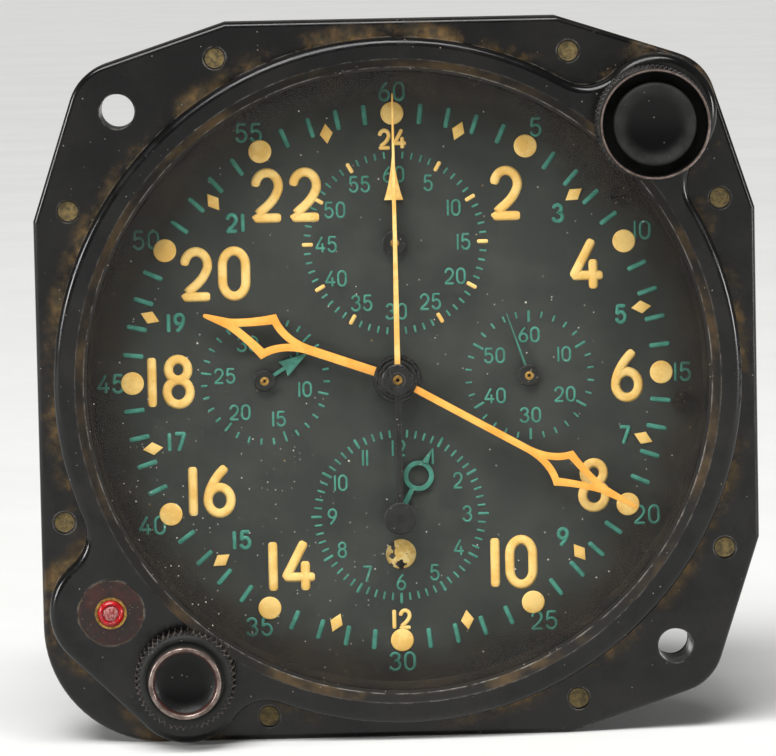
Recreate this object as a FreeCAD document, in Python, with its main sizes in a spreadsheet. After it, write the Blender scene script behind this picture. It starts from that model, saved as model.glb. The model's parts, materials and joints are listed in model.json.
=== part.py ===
"""Aircraft panel clock with a 24-hour dial, chronograph, calendar and elapsed-time counter.

The dial faces -Y with +Z up and +X to the right. The origin lies on the dial's axis in the panel
plane, the rear face of the mounting flange. Heights are counted from that plane towards the viewer,
so the movement lies at negative heights. All sizes are millimetres and degrees.
"""
import FreeCAD, Part
import math
import os
import re

import Sketcher

V = FreeCAD.Vector
FACE = FreeCAD.Rotation(V(1, 0, 0), 90)
UP = V(0, 0, 1)

DOC = FreeCAD.newDocument("AircraftClock")
SHEET = DOC.addObject("Spreadsheet::Sheet", "Sizes")

# Driving dimensions: alias, value, meaning
SIZES = [
    ("flange_half", 41.3, "half width of the square mounting flange"),
    ("flat_share", 0.46, "straight part of a flange side, as a share of the half width"),
    ("corner_cut", 5.5, "where the slanting sides of a corner meet, inside the flange's full width"),
    ("ear_radius", 6.0, "rounding of the three ears"),
    ("plain_corner_radius", 13.6, "rounding of the corner at the winding knob"),
    ("flange_front", 8.0, "front face of the flange"),
    ("rear_flange_thick", 1.2, "flange of the rear case"),
    ("flange_edge", 0.6, "rounding of the flange's front edge"),
    ("hole_margin", 3.15, "mounting holes beyond the flange's half width, seen from the axis"),
    ("hole_radius", 2.0, "mounting hole"),
    ("screw_margin", 1.1, "case screws beyond the flange's half width, seen from the axis"),
    ("low_screw_margin", 0.3, "the same for the two beside the winding knob and the date button"),
    ("screw_radius", 1.1, "case screw shank"),
    ("screw_recess_radius", 1.3, "recess round a screw's front end"),
    ("screw_recess_deep", 0.6, "depth of that recess"),
    ("screw_head_radius", 1.9, "case screw head"),
    ("screw_head_thick", 0.7, "case screw head"),
    ("screw_head_sunk", 0.75, "recess of a screw head in the rear of the flange"),
    ("side_screw_turn", 28.4, "angle of the paired screws from the vertical or horizontal"),
    ("low_screw_turn", 22.0, "the same beside the winding knob and the date button"),
    ("rim_top", 11.5, "front of the raised rim"),
    ("rim_margin", 2.0, "flange outside the rim"),
    ("rim_width", 2.4, "rim from its foot to the bevelled opening"),
    ("bevel_width", 1.0, "bevel of the opening"),
    ("lip_height", 10.4, "rear face of the lip that holds the crystal"),
    ("rim_rounding", 0.9, "rounding of the rim's outer edge"),
    ("blend_radius", 4.6, "hollow curve between the rim and a lobe"),
    ("bore_wall", 1.6, "rim's wall outside the bore of rim and rear case"),
    ("case_step", 0.1, "rear case inside the rim's foot"),
    ("case_depth", 36.5, "depth of the rear case behind the panel"),
    ("case_wall", 1.5, "back wall of the rear case"),
    ("ledge_width", 1.3, "ledge behind the front plate"),
    ("ledge_thick", 1.8, "ledge thickness"),
    ("side_gap", 0.3, "clearance of round parts in the case bore"),
    ("gasket_thick", 0.3, "sealing ring in front of the crystal"),
    ("glass_thick", 1.8, "crystal"),
    ("hand_room", 3.4, "space between crystal and dial"),
    ("dial_thick", 0.7, "dial plate"),
    ("dial_screw_gap", 4.5, "dial screws inside the case bore"),
    ("dial_screw_turn", 96.0, "dial screw at the right, clockwise from the top"),
    ("second_dial_screw_turn", 52.2, "dial screw at the upper right"),
    ("ring_width", 6.1, "movement ring with its gap to the bore"),
    ("ring_thick", 4.6, "movement ring, from dial to front plate"),
    ("spacer_width", 1.5, "ring between dial and crystal with its gap to the bore"),
    ("front_plate_thick", 1.8, "front plate"),
    ("rear_room", 12.8, "space behind the rear plate for balance and winding works"),
    ("rear_plate_thick", 2.0, "rear plate"),
    ("rear_plate_gap", 1.7, "rear plate inside the case bore"),
    ("pillar_radius", 2.0, "pillar between the plates"),
    ("pillar_margin", 6.5, "pillars inside the case bore"),
    ("push_inset", 12.1, "upper knob inside the flange's right and upper sides"),
    ("push_lobe_shift", 0.9, "lobe centre beyond the upper knob, in x and z"),
    ("push_lobe_radius", 6.75, "lobe round the upper knob"),
    ("push_travel", 1.0, "travel of the upper knob"),
    ("push_cap_radius", 6.4, "upper knob"),
    ("push_cap_tall", 7.0, "upper knob"),
    ("push_dish_radius", 4.6, "hollow front of the upper knob"),
    ("winder_inset_x", 16.3, "winding knob inside the flange's left side"),
    ("winder_inset_z", 8.2, "winding knob inside the flange's lower side"),
    ("winder_lobe_shift", 1.2, "lobe centre below the winding knob"),
    ("winder_lobe_radius", 6.7, "lobe round the winding knob"),
    ("winder_radius", 5.75, "toothed skirt of the winding knob"),
    ("winder_teeth", 48, "grip teeth round the skirt"),
    ("winder_skirt_tall", 3.0, "toothed skirt"),
    ("winder_collar_radius", 4.15, "front collar of the winding knob"),
    ("winder_collar_tall", 2.6, "front collar"),
    ("winder_pull", 2.0, "travel of the winding knob when pulled"),
    ("button_inset_x", 7.9, "date button inside the flange's left side"),
    ("button_inset_z", 15.6, "date button inside the flange's lower side"),
    ("button_lobe_radius", 7.0, "lobe round the date button"),
    ("button_radius", 1.5, "red date button"),
    ("button_travel", 0.8, "travel of the date button"),
    ("button_proud", 0.9, "height of the red button above the rim"),
    ("label_radius", 3.75, "round label disc"),
    ("label_thick", 0.35, "round label disc"),
    ("stem_radius", 1.1, "stems of the knobs"),
    ("bush_radius", 2.0, "bushes of the stems"),
    ("bush_flange_radius", 3.2, "flange of a stem bush"),
    ("fit_gap", 0.05, "running clearance of arbors and stems"),
    ("knob_gap", 0.6, "gap between rim and knobs at rest"),
    ("spring_wire", 0.4, "wire of the push springs"),
    ("arbor_radius", 0.5, "arbors of the small works"),
    ("pivot_deep", 1.4, "length of a pivot in its plate"),
    ("tooth_rise", 0.8, "tooth above the pitch circle, in modules"),
    ("tooth_root", 1.25, "tooth below the pitch circle, in modules"),
    ("tooth_half", 0.185, "half width of a tooth at the pitch circle, as a share of the pitch"),
    ("great_module", 0.4, "great wheel and its pinion"),
    ("great_teeth", 72, "great wheel on the barrel"),
    ("great_thick", 1.6, "great wheel"),
    ("barrel_radius", 13.2, "mainspring barrel"),
    ("barrel_room", 6.0, "space between the plates that the barrel leaves free"),
    ("barrel_wall", 0.8, "barrel wall"),
    ("barrel_arbor_radius", 2.0, "barrel arbor"),
    ("second_module", 0.375, "intermediate wheel and centre pinion"),
    ("second_leaves", 12, "pinion of the intermediate wheel"),
    ("second_teeth", 60, "intermediate wheel"),
    ("centre_leaves", 12, "centre pinion"),
    ("centre_module", 0.3, "centre wheel and third pinion"),
    ("centre_teeth", 80, "centre wheel"),
    ("third_leaves", 10, "third pinion"),
    ("third_module", 0.28, "third wheel and fourth pinion"),
    ("third_teeth", 75, "third wheel"),
    ("fourth_leaves", 10, "fourth pinion"),
    ("fourth_module", 0.22, "fourth wheel and escape pinion"),
    ("fourth_teeth", 80, "fourth wheel"),
    ("escape_leaves", 8, "escape pinion"),
    ("escape_direction", 50.0, "direction of the escape wheel from the fourth wheel"),
    ("escape_radius", 4.0, "escape wheel"),
    ("escape_teeth", 15, "escape wheel"),
    ("wheel_thick", 0.8, "train wheels"),
    ("pinion_thick", 1.8, "train pinions"),
    ("lever_distance", 4.9, "pallet pivot from the escape wheel"),
    ("balance_distance", 12.4, "balance from the escape wheel"),
    ("balance_direction", 125.0, "direction of the balance from the escape wheel"),
    ("balance_radius", 9.0, "balance rim"),
    ("balance_rim", 1.2, "width of the balance rim"),
    ("cock_turn", 15.0, "how far the balance cock leans from the line of the escapement"),
    ("cannon_module", 0.28, "cannon pinion and minute wheel"),
    ("cannon_leaves", 10, "cannon pinion"),
    ("minute_teeth", 40, "minute wheel"),
    ("hour_module", 0.25, "hour wheel and its pinion"),
    ("minute_leaves", 8, "pinion of the minute wheel"),
    ("hour_teeth", 48, "hour wheel"),
    ("minute_direction", 45.0, "direction of the minute wheel"),
    ("centre_bore", 0.4, "bore of the hollow centre arbor"),
    ("centre_tube", 0.8, "outside radius of the hollow centre arbor"),
    ("cannon_tube", 1.05, "outside radius of the cannon pinion"),
    ("hour_tube", 1.5, "outside radius of the hour wheel's tube"),
    ("top_share", 0.397, "register above the axis, as a share of the rim's radius"),
    ("right_share", 0.387, "running seconds to the right of the axis, the same"),
    ("left_share", 0.389, "date to the left of the axis, the same"),
    ("bottom_share", 0.402, "elapsed time below the axis, the same"),
    ("register_module", 0.25, "register wheels"),
    ("sweep_leaves", 8, "pinion of the sweep arbor"),
    ("transfer_teeth", 64, "register transfer wheel"),
    ("transfer_leaves", 8, "its pinion"),
    ("register_teeth", 60, "register wheel"),
    ("star_radius", 6.0, "calendar star wheel"),
    ("star_teeth", 31, "calendar star wheel"),
    ("jumper_direction", 115.0, "direction of the jumper's nose from the star wheel"),
    ("jumper_out", 7.52, "jumper stud, along that direction"),
    ("jumper_long", 7.0, "jumper stud, across that direction"),
    ("elapsed_module", 0.25, "elapsed minute pinion and its wheel"),
    ("elapsed_leaves", 12, "elapsed minute pinion"),
    ("elapsed_teeth", 36, "elapsed transfer wheel"),
    ("elapsed_slow_module", 0.24, "elapsed hour wheel and its pinion"),
    ("elapsed_slow_leaves", 10, "pinion of the elapsed transfer wheel"),
    ("elapsed_slow_teeth", 40, "elapsed hour wheel"),
    ("elapsed_direction", -20.0, "direction of the elapsed transfer wheel"),
    ("elapsed_tube", 0.95, "tube of the elapsed hour wheel"),
    ("window_x", 0.05, "round window of the lower small dial"),
    ("window_drop", 4.7, "window below the lower small dial's centre"),
    ("window_radius", 1.76, "round window"),
    ("disc_drop", 3.7, "centre of the status disc below the window"),
    ("disc_gap", 1.8, "status disc inside the movement ring"),
    ("winding_module", 0.45, "winding wheels"),
    ("winding_leaves", 12, "winding pinion on the knob's stem"),
    ("winding_teeth", 30, "winding wheel"),
    ("winding_rear_leaves", 14, "rear pinion of the winding arbor"),
    ("ratchet_teeth", 60, "ratchet wheel"),
    ("ratchet_thick", 1.2, "ratchet wheel"),
    ("click_direction", -42.0, "direction of the click's nose from the barrel"),
    ("click_rise", 4.6, "click pivot above its nose"),
    ("lever_inner_gap", 5.3, "inner end of a push lever inside the case bore"),
    ("lever_pivot_gap", 2.1, "pivot of a push lever inside the case bore"),
    ("lever_thick", 0.8, "push lever"),
    ("lever_half", 0.8, "half width of a push lever"),
    ("hour_hand_gap", 12.2, "tip of the hour hand inside the bevelled opening"),
    ("minute_hand_gap", 4.5, "tip of the minute hand inside the bevelled opening"),
    ("sweep_hand_gap", 2.9, "tip of the sweep hand inside the bevelled opening"),
    ("sweep_tail", 16.0, "counterweight of the sweep hand from the axis"),
    ("sweep_weight_radius", 1.83, "counterweight of the sweep hand"),
    ("register_hand_long", 10.5, "register hand"),
    ("seconds_hand_long", 7.6, "running seconds hand"),
    ("date_hand_long", 5.75, "date hand"),
    ("elapsed_minute_long", 9.4, "elapsed minute hand"),
    ("elapsed_hour_long", 8.1, "elapsed hour hand"),
    ("hand_thick", 0.25, "all hands"),
    ("collet_below", 0.25, "collet below its hand"),
    ("collet_above", 0.2, "collet above its hand"),
    ("small_hand_rise", 0.35, "small hands above the dial"),
    ("elapsed_hour_rise", 0.25, "elapsed hour hand above the dial"),
    ("elapsed_minute_rise", 0.7, "elapsed minute hand above the dial"),
    ("hour_hand_rise", 1.25, "hour hand above the dial, clear of all small hands"),
    ("minute_hand_rise", 2.05, "minute hand above the dial"),
    ("sweep_hand_rise", 2.8, "sweep seconds hand above the dial"),
    ("hour_reading", 289.4, "hour hand at rest, clockwise from the top"),
    ("minute_reading", 119.4, "minute hand at rest"),
    ("sweep_reading", 0.0, "sweep hand at rest"),
    ("register_reading", 0.0, "register hand at rest"),
    ("seconds_reading", 341.0, "running seconds hand at rest"),
    ("date_reading", 58.3, "date hand at rest"),
    ("elapsed_minute_reading", 1.0, "elapsed minute hand at rest"),
    ("elapsed_hour_reading", 27.0, "elapsed hour hand at rest"),
]

for row, (alias, value, meaning) in enumerate(SIZES, start=1):
    SHEET.set("A%d" % row, meaning)
    SHEET.set("B%d" % row, str(value))
    SHEET.setAlias("B%d" % row, alias)
DOC.recompute()

# Places of the arbors, worked out from the sizes
PLACES = DOC.addObject("App::FeaturePython", "Places")
OWNERS = {alias: "Sizes" for alias, value, meaning in SIZES}


def bound(formula):
    """Put the name of the owning object before each size or place in a formula."""
    def owner(match):
        word = match.group()
        return OWNERS[word] + "." + word if word in OWNERS else word
    return re.sub(r"[a-z][a-z_0-9]*", owner, formula)


def number(formula):
    """Value of a formula of sizes and places."""
    return float(SHEET.evalExpression(bound(formula)))


def add_place(name, formula):
    """Keep a worked-out number under a name that later formulas can use."""
    PLACES.addProperty("App::PropertyFloat", name)
    PLACES.setExpression(name, bound(formula))
    DOC.recompute()
    OWNERS[name] = "Places"


def mesh_distance(module, teeth, mate_teeth):
    """Centre distance of two gears in mesh."""
    return "(%s * (%s + %s) / 2)" % (module, teeth, mate_teeth)


def place_polar(name, origin, distance, direction):
    """Place an arbor at a distance and direction from another one."""
    add_place(name + "_x", "%s + %s * cos(%s)" % (origin[0], distance, direction))
    add_place(name + "_z", "%s + %s * sin(%s)" % (origin[1], distance, direction))
    return (name + "_x", name + "_z")


def place_between(name, first, reach, second, other_reach, side):
    """Place an arbor at given distances from two others, to the left (1) or right (-1) of their line."""
    run, rise = name + "_run", name + "_rise"
    span, along, across = name + "_span", name + "_along", name + "_across"
    add_place(run, "%s - %s" % (second[0], first[0]))
    add_place(rise, "%s - %s" % (second[1], first[1]))
    add_place(span, "sqrt(%s ^ 2 + %s ^ 2)" % (run, rise))
    add_place(along, "((%s) ^ 2 - (%s) ^ 2 + %s ^ 2) / (2 * %s)" % (reach, other_reach, span, span))
    add_place(across, "%d * sqrt((%s) ^ 2 - %s ^ 2)" % (side, reach, along))
    add_place(name + "_x", "%s + (%s * %s - %s * %s) / %s" % (first[0], along, run, across, rise, span))
    add_place(name + "_z", "%s + (%s * %s + %s * %s) / %s" % (first[1], along, rise, across, run, span))
    return (name + "_x", name + "_z")


# Sizes that follow from the ones above
for name, formula in (
        ("flat_half", "flange_half * flat_share"),
        ("corner_reach", "flange_half - corner_cut"),
        ("hole_circle", "2 * (flange_half + hole_margin)"),
        ("screw_circle", "flange_half + screw_margin"),
        ("low_screw_circle", "flange_half + low_screw_margin"),
        ("rim_foot", "flange_half - rim_margin"),
        ("rim_opening", "rim_foot - rim_width"),
        ("rim_throat", "rim_opening - bevel_width"),
        ("case_bore", "rim_foot - bore_wall"),
        ("case_outside", "rim_foot - case_step"),
        ("ledge_radius", "case_bore - ledge_width"),
        ("ring_inside", "case_bore - ring_width"),
        ("spacer_inside", "case_bore - spacer_width"),
        ("dial_screw_circle", "case_bore - dial_screw_gap"),
        ("rear_plate_radius", "case_bore - rear_plate_gap"),
        ("pillar_circle", "case_bore - pillar_margin"),
        ("lever_inner", "case_bore - lever_inner_gap"),
        ("lever_pivot", "case_bore - lever_pivot_gap"),
        ("push_x", "flange_half - push_inset"),
        ("push_z", "flange_half - push_inset"),
        ("winder_x", "winder_inset_x - flange_half"),
        ("winder_z", "winder_inset_z - flange_half"),
        ("button_x", "button_inset_x - flange_half"),
        ("button_z", "button_inset_z - flange_half"),
        ("top_dial", "rim_foot * top_share"),
        ("right_dial", "rim_foot * right_share"),
        ("left_dial", "rim_foot * left_share"),
        ("bottom_dial", "rim_foot * bottom_share"),
        ("disc_radius", "ring_inside - bottom_dial - window_drop - disc_drop - disc_gap"),
        ("hour_hand_long", "rim_throat - hour_hand_gap"),
        ("minute_hand_long", "rim_throat - minute_hand_gap"),
        ("sweep_hand_long", "rim_throat - sweep_hand_gap")):
    add_place(name, formula)

CENTRE = ("0", "0")
REGISTER = ("0", "top_dial")
SECONDS = ("right_dial", "0")
DATE = ("-left_dial", "0")
ELAPSED = ("0", "-bottom_dial")
PUSH = ("push_x", "push_z")
WINDER = ("winder_x", "winder_z")
BUTTON = ("button_x", "button_z")
WINDOW = ("window_x", "-bottom_dial - window_drop")
DISC = ("window_x", "-bottom_dial - window_drop - disc_drop")

add_place("winder_reach", "sqrt(winder_x ^ 2 + winder_z ^ 2)")
add_place("winding_reach", "winder_reach - "
          + mesh_distance("winding_module", "winding_teeth", "winding_leaves"))
add_place("winding_x", "winder_x * winding_reach / winder_reach")
add_place("winding_z", "winder_z * winding_reach / winder_reach")
WINDING = ("winding_x", "winding_z")
add_place("great_tip", "great_module * (great_teeth / 2 + tooth_rise)")
BARREL = place_between(
    "barrel", CENTRE, "great_tip + centre_tube + 1.3",
    WINDING, mesh_distance("winding_module", "ratchet_teeth", "winding_rear_leaves"), -1)
SECOND = place_between(
    "second", CENTRE, mesh_distance("second_module", "second_teeth", "centre_leaves"),
    BARREL, mesh_distance("great_module", "great_teeth", "second_leaves"), -1)
THIRD = place_between(
    "third", CENTRE, mesh_distance("centre_module", "centre_teeth", "third_leaves"),
    SECONDS, mesh_distance("third_module", "third_teeth", "fourth_leaves"), -1)
ESCAPE = place_polar(
    "escape", SECONDS, mesh_distance("fourth_module", "fourth_teeth", "escape_leaves"), "escape_direction")
LEVER = place_polar("lever", ESCAPE, "lever_distance", "balance_direction")
BALANCE = place_polar("balance", ESCAPE, "balance_distance", "balance_direction")
MINUTE = place_polar(
    "minute", CENTRE, mesh_distance("cannon_module", "cannon_leaves", "minute_teeth"), "minute_direction")
TRANSFER = place_between(
    "transfer", CENTRE, mesh_distance("register_module", "sweep_leaves", "transfer_teeth"),
    REGISTER, mesh_distance("register_module", "transfer_leaves", "register_teeth"), 1)
add_place("ratchet_tip", "winding_module * (ratchet_teeth / 2 + tooth_rise)")
add_place("click_x",
          "barrel_x + (ratchet_tip + 3) * cos(click_direction) - click_rise * sin(click_direction)")
add_place("click_z",
          "barrel_z + (ratchet_tip + 3) * sin(click_direction) + click_rise * cos(click_direction)")
CLICK = ("click_x", "click_z")
COUNTER = place_polar(
    "counter", ELAPSED, mesh_distance("elapsed_module", "elapsed_leaves", "elapsed_teeth"),
    "elapsed_direction")
add_place("jumper_x", "-left_dial + jumper_out * cos(jumper_direction) - jumper_long * sin(jumper_direction)")
add_place("jumper_z", "jumper_out * sin(jumper_direction) + jumper_long * cos(jumper_direction)")
JUMPER = ("jumper_x", "jumper_z")

# Heights of the stack, from the crystal down to the rear plate
for level, formula in (
        ("glass_front", "lip_height - gasket_thick"),
        ("glass_rear", "glass_front - glass_thick"),
        ("dial_front", "glass_rear - hand_room"),
        ("small_arbor_top", "dial_front + small_hand_rise + hand_thick + collet_above"),
        ("dial_rear", "dial_front - dial_thick"),
        ("plate_front", "dial_rear - ring_thick"),
        ("plate_rear", "plate_front - front_plate_thick"),
        ("case_floor", "case_wall - case_depth"),
        ("back_rear", "case_floor + rear_room"),
        ("back_front", "back_rear + rear_plate_thick"),
        ("barrel_tall", "plate_rear - back_front - barrel_room")):
    add_place(level, formula)


def sketch_on(body, role, height=None):
    """New sketch on one of the body's origin planes, lifted to a height."""
    sketch = body.newObject("Sketcher::SketchObject", body.Name + "Sketch")
    plane = [item for item in body.Origin.OriginFeatures if item.Role == role][0]
    sketch.AttachmentSupport = [(plane, "")]
    sketch.MapMode = "FlatFace"
    if height is not None:
        sketch.setExpression("AttachmentOffset.Base.z", bound(height))
    return sketch


def pin_point(sketch, geometry, position, point):
    """Hold a point of the sketch at two formulas."""
    for kind, formula in zip(("DistanceX", "DistanceY"), point):
        index = sketch.addConstraint(
            Sketcher.Constraint(kind, -1, 1, geometry, position, number(formula)))
        sketch.setExpression("Constraints[%d]" % index, bound(formula))


def draw_loop(sketch, points):
    """Closed loop of straight lines through points given as formulas."""
    corners = [V(number(x), number(y), 0) for x, y in points]
    first = sketch.GeometryCount
    total = len(corners)
    for start, end in zip(corners, corners[1:] + corners[:1]):
        sketch.addGeometry(Part.LineSegment(start, end), False)
    for index in range(total):
        following = first + (index + 1) % total
        sketch.addConstraint(Sketcher.Constraint("Coincident", first + index, 2, following, 1))
    for index, point in enumerate(points):
        pin_point(sketch, first + index, 1, point)


def draw_circle(sketch, x, z, radius):
    """Circle whose centre and radius are formulas."""
    index = sketch.addGeometry(Part.Circle(V(number(x), number(z), 0), UP, number(radius)), False)
    pin_point(sketch, index, 3, (x, z))
    held = sketch.addConstraint(Sketcher.Constraint("Radius", index, number(radius)))
    sketch.setExpression("Constraints[%d]" % held, bound(radius))


def draw(sketch, loops):
    """Draw circles, given as (x, z, radius), and loops, given as lists of points."""
    for loop in loops:
        if isinstance(loop, tuple):
            draw_circle(sketch, *loop)
        else:
            draw_loop(sketch, loop)


def new_body(name, place=CENTRE, reading=0.0):
    """Body of one sub-part, standing on the dial's plane at a place and turned clockwise."""
    body = DOC.addObject("PartDesign::Body", name)
    body.Label = name
    body.Placement = FreeCAD.Placement(V(), FACE.multiply(FreeCAD.Rotation(UP, -reading)))
    body.setExpression("Placement.Base.x", bound(place[0]))
    body.setExpression("Placement.Base.z", bound(place[1]))
    return body


def pad(body, start, thick, loops):
    """Extrude loops from a height towards the viewer."""
    sketch = sketch_on(body, "XY_Plane", start)
    draw(sketch, loops)
    feature = body.newObject("PartDesign::Pad", body.Name + "Pad")
    feature.Profile = sketch
    feature.setExpression("Length", bound(thick))
    return feature


def pocket(body, top, deep, loops):
    """Cut loops from a height away from the viewer."""
    sketch = sketch_on(body, "XY_Plane", top)
    draw(sketch, loops)
    feature = body.newObject("PartDesign::Pocket", body.Name + "Pocket")
    feature.Profile = sketch
    feature.setExpression("Length", bound(deep))
    return feature


def turn(body, profile, kind="Revolution"):
    """Turn a profile of (radius, height) points about the body's own axis."""
    sketch = sketch_on(body, "XZ_Plane")
    draw_loop(sketch, profile)
    feature = body.newObject("PartDesign::" + kind, body.Name + kind)
    feature.Profile = sketch
    feature.ReferenceAxis = (sketch, ["V_Axis"])
    feature.Angle = 360
    return feature


def groove(body, profile):
    """Turn a profile of (radius, height) points out of the body."""
    return turn(body, profile, "Groove")


def round_edges(body, base, radius, chosen):
    """Round the edges of a feature that a test picks out."""
    DOC.recompute()
    names = ["Edge%d" % index for index, edge in enumerate(base.Shape.Edges, start=1) if chosen(edge)]
    feature = body.newObject("PartDesign::Fillet", body.Name + "Fillet")
    feature.Base = (base, names)
    feature.setExpression("Radius", bound(radius))
    return feature


def upright_edge_at(x, z):
    """Test for an edge that stands square to the dial at a place."""
    def chosen(edge):
        box = edge.BoundBox
        return (box.ZLength > 0.1 and box.XLength < 0.01 and box.YLength < 0.01
                and abs(box.XMin - x) < 0.05 and abs(box.YMin - z) < 0.05)
    return chosen


def piece(name, shape, place=CENTRE, reading=0.0):
    """Sub-part whose shape is made directly, standing on the dial's plane at a place."""
    feature = DOC.addObject("Part::Feature", name)
    feature.Label = name
    feature.Shape = shape
    feature.Placement = FreeCAD.Placement(V(), FACE.multiply(FreeCAD.Rotation(UP, -reading)))
    feature.setExpression("Placement.Base.x", bound(place[0]))
    feature.setExpression("Placement.Base.z", bound(place[1]))
    return feature


def rod(radius, low, high, x=0.0, z=0.0):
    """Plain cylinder between two heights."""
    return Part.makeCylinder(radius, high - low, V(x, z, low), UP)


def offset(place, origin):
    """Vector from one place to another, in the dial's plane."""
    return V(number(place[0]) - number(origin[0]), number(place[1]) - number(origin[1]), 0)


def bar_between(start, end, half_width, low, high):
    """Flat bar with round ends between two points."""
    along = end.sub(start).normalize()
    across = V(-along.y, along.x, 0).multiply(half_width)
    tips = [start.add(across), start.sub(across), end.sub(across), end.add(across)]
    wire = Part.Wire([
        Part.Arc(tips[0], start.sub(V(along).multiply(half_width)), tips[1]).toShape(),
        Part.LineSegment(tips[1], tips[2]).toShape(),
        Part.Arc(tips[2], end.add(V(along).multiply(half_width)), tips[3]).toShape(),
        Part.LineSegment(tips[3], tips[0]).toShape()])
    bar = Part.Face(wire).extrude(V(0, 0, high - low))
    bar.translate(V(0, 0, low))
    return bar


def fused(*shapes):
    """One solid of several."""
    return shapes[0].fuse(list(shapes[1:])).removeSplitter()


def ring_of_teeth(outer, inner, teeth, half_top, half_root, phase, low, high, lean=0.0):
    """Toothed disc; half widths are shares of the pitch, lean tilts the teeth."""
    pitch = 2 * math.pi / teeth
    corners = []
    for index in range(teeth):
        middle = math.radians(phase) + index * pitch
        for radius, share in ((inner, -half_root), (outer, lean - half_top), (outer, lean + half_top),
                              (inner, half_root)):
            angle = middle + share * pitch
            corners.append(V(radius * math.cos(angle), radius * math.sin(angle), low))
    face = Part.Face(Part.makePolygon(corners + corners[:1]))
    return face.extrude(V(0, 0, high - low))


def gear(module, teeth, phase, low, high):
    """Gear wheel or pinion, solid to its centre."""
    size = number(module)
    pitch_radius = size * teeth / 2
    outer = pitch_radius + size * number("tooth_rise")
    inner = pitch_radius - size * number("tooth_root")
    half = number("tooth_half")
    return ring_of_teeth(outer, inner, teeth, half * 0.45, half * 1.2, phase, low, high)


def mating_phase(place, teeth, mate_place, mate_teeth):
    """Phase of a gear that meshes with a mate whose own phase is zero."""
    line = offset(mate_place, place)
    back = math.degrees(math.atan2(-line.y, -line.x))
    share = (back * mate_teeth / 360) % 1.0
    return back + 180 - (0.5 - share) * 360 / teeth


def count(alias):
    """Whole number of teeth."""
    return int(round(number(alias)))


def spiral_strip(inner, outer, turns, strip, low, high, start=0.0):
    """Flat coiled strip between two radii."""
    steps = turns * 12
    edges = []
    for shift in (0.0, strip):
        points = []
        for index in range(steps + 1):
            angle = math.radians(start) + 2 * math.pi * turns * index / steps
            radius = inner + shift + (outer - strip - inner) * index / steps
            points.append(V(radius * math.cos(angle), radius * math.sin(angle), low))
        curve = Part.BSplineCurve()
        curve.interpolate(points)
        edges.append(curve.toShape())
    ends = [Part.LineSegment(edges[0].valueAt(value(edges[0])), edges[1].valueAt(value(edges[1]))).toShape()
            for value in (lambda edge: edge.FirstParameter, lambda edge: edge.LastParameter)]
    wire = Part.Wire(Part.__sortEdges__(edges + ends))
    return Part.Face(wire).extrude(V(0, 0, high - low))


def coil_spring(mean_radius, wire, low, high, turns):
    """Round-wire coil spring; its ends lie half a wire inside the given heights."""
    tall = high - low - wire
    steps = turns * 16
    points = []
    for index in range(steps + 1):
        angle = 2 * math.pi * turns * index / steps
        points.append(V(mean_radius * math.cos(angle), mean_radius * math.sin(angle),
                        low + wire / 2 + tall * index / steps))
    curve = Part.BSplineCurve()
    curve.interpolate(points)
    start = curve.tangent(curve.FirstParameter)[0]
    section = Part.Wire(Part.makeCircle(wire / 2, points[0], start))
    return Part.Wire([curve.toShape()]).makePipeShell([section], True, True)


def arbor_between(radius, low, high, pivot, front_end):
    """Arbor with a thin rear pivot and a pivot or post towards the dial."""
    return fused(rod(radius, low, high), rod(pivot, low - number("pivot_deep"), low),
                 rod(pivot, high, front_end))


# Front bezel: flange with four corners, raised rim with two lobes, bevelled opening
OUTLINE = [
    ("-flange_half", "-flange_half"),
    ("flat_half", "-flange_half"),
    ("corner_reach", "-corner_reach"),
    ("flange_half", "-flat_half"),
    ("flange_half", "flat_half"),
    ("corner_reach", "corner_reach"),
    ("flat_half", "flange_half"),
    ("-flat_half", "flange_half"),
    ("-corner_reach", "corner_reach"),
    ("-flange_half", "flat_half"),
]
EARS = [(1, -1), (1, 1), (-1, 1)]
HOLES = [("-hole_circle / 2 * cos(45)", "hole_circle / 2 * sin(45)"),
         ("hole_circle / 2 * cos(45)", "-hole_circle / 2 * sin(45)")]


def polar(radius, clockwise):
    """Point at a radius and a clock angle, as formulas."""
    return ("%s * sin(%s)" % (radius, clockwise), "%s * cos(%s)" % (radius, clockwise))


SCREWS = [polar("screw_circle", angle) for angle in (
    "side_screw_turn", "90 - side_screw_turn", "90 + side_screw_turn", "180 - side_screw_turn",
    "270 + side_screw_turn", "360 - side_screw_turn")]
SCREWS += [polar("low_screw_circle", angle) for angle in ("180 + low_screw_turn", "270 - low_screw_turn")]
DIAL_SCREWS = [polar("dial_screw_circle", angle) for angle in ("dial_screw_turn", "second_dial_screw_turn")]


def flange(body, low, thick):
    """Flange plate with its rounded corners and two mounting holes."""
    holes = [(x, z, "hole_radius") for x, z in HOLES]
    plate = pad(body, low, thick, [OUTLINE] + holes)
    corner = number("corner_reach")
    ears = [upright_edge_at(corner * side, corner * rise) for side, rise in EARS]
    eared = round_edges(body, plate, "ear_radius", lambda edge: any(test(edge) for test in ears))
    plain = upright_edge_at(-number("flange_half"), -number("flange_half"))
    return round_edges(body, eared, "plain_corner_radius", plain)


def circle_centre(first, reach, second, other_reach, side):
    """Point at two distances from two others, to the left (1) or right (-1) of their line."""
    line = second.sub(first)
    span = line.Length
    along = (reach ** 2 - other_reach ** 2 + span ** 2) / (2 * span)
    across = side * math.sqrt(reach ** 2 - along ** 2)
    unit = V(line).multiply(1 / span)
    return first.add(V(unit).multiply(along)).add(V(-unit.y, unit.x, 0).multiply(across))


def towards(start, end, distance):
    """Point at a distance from one point in the direction of another."""
    return start.add(end.sub(start).normalize().multiply(distance))


def arc(centre, start, end, radius):
    """Arc of less than half a circle between two points, bulging away from its centre."""
    middle = V(start.add(end)).multiply(0.5)
    return Part.Arc(start, towards(centre, middle, radius), end).toShape()


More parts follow.
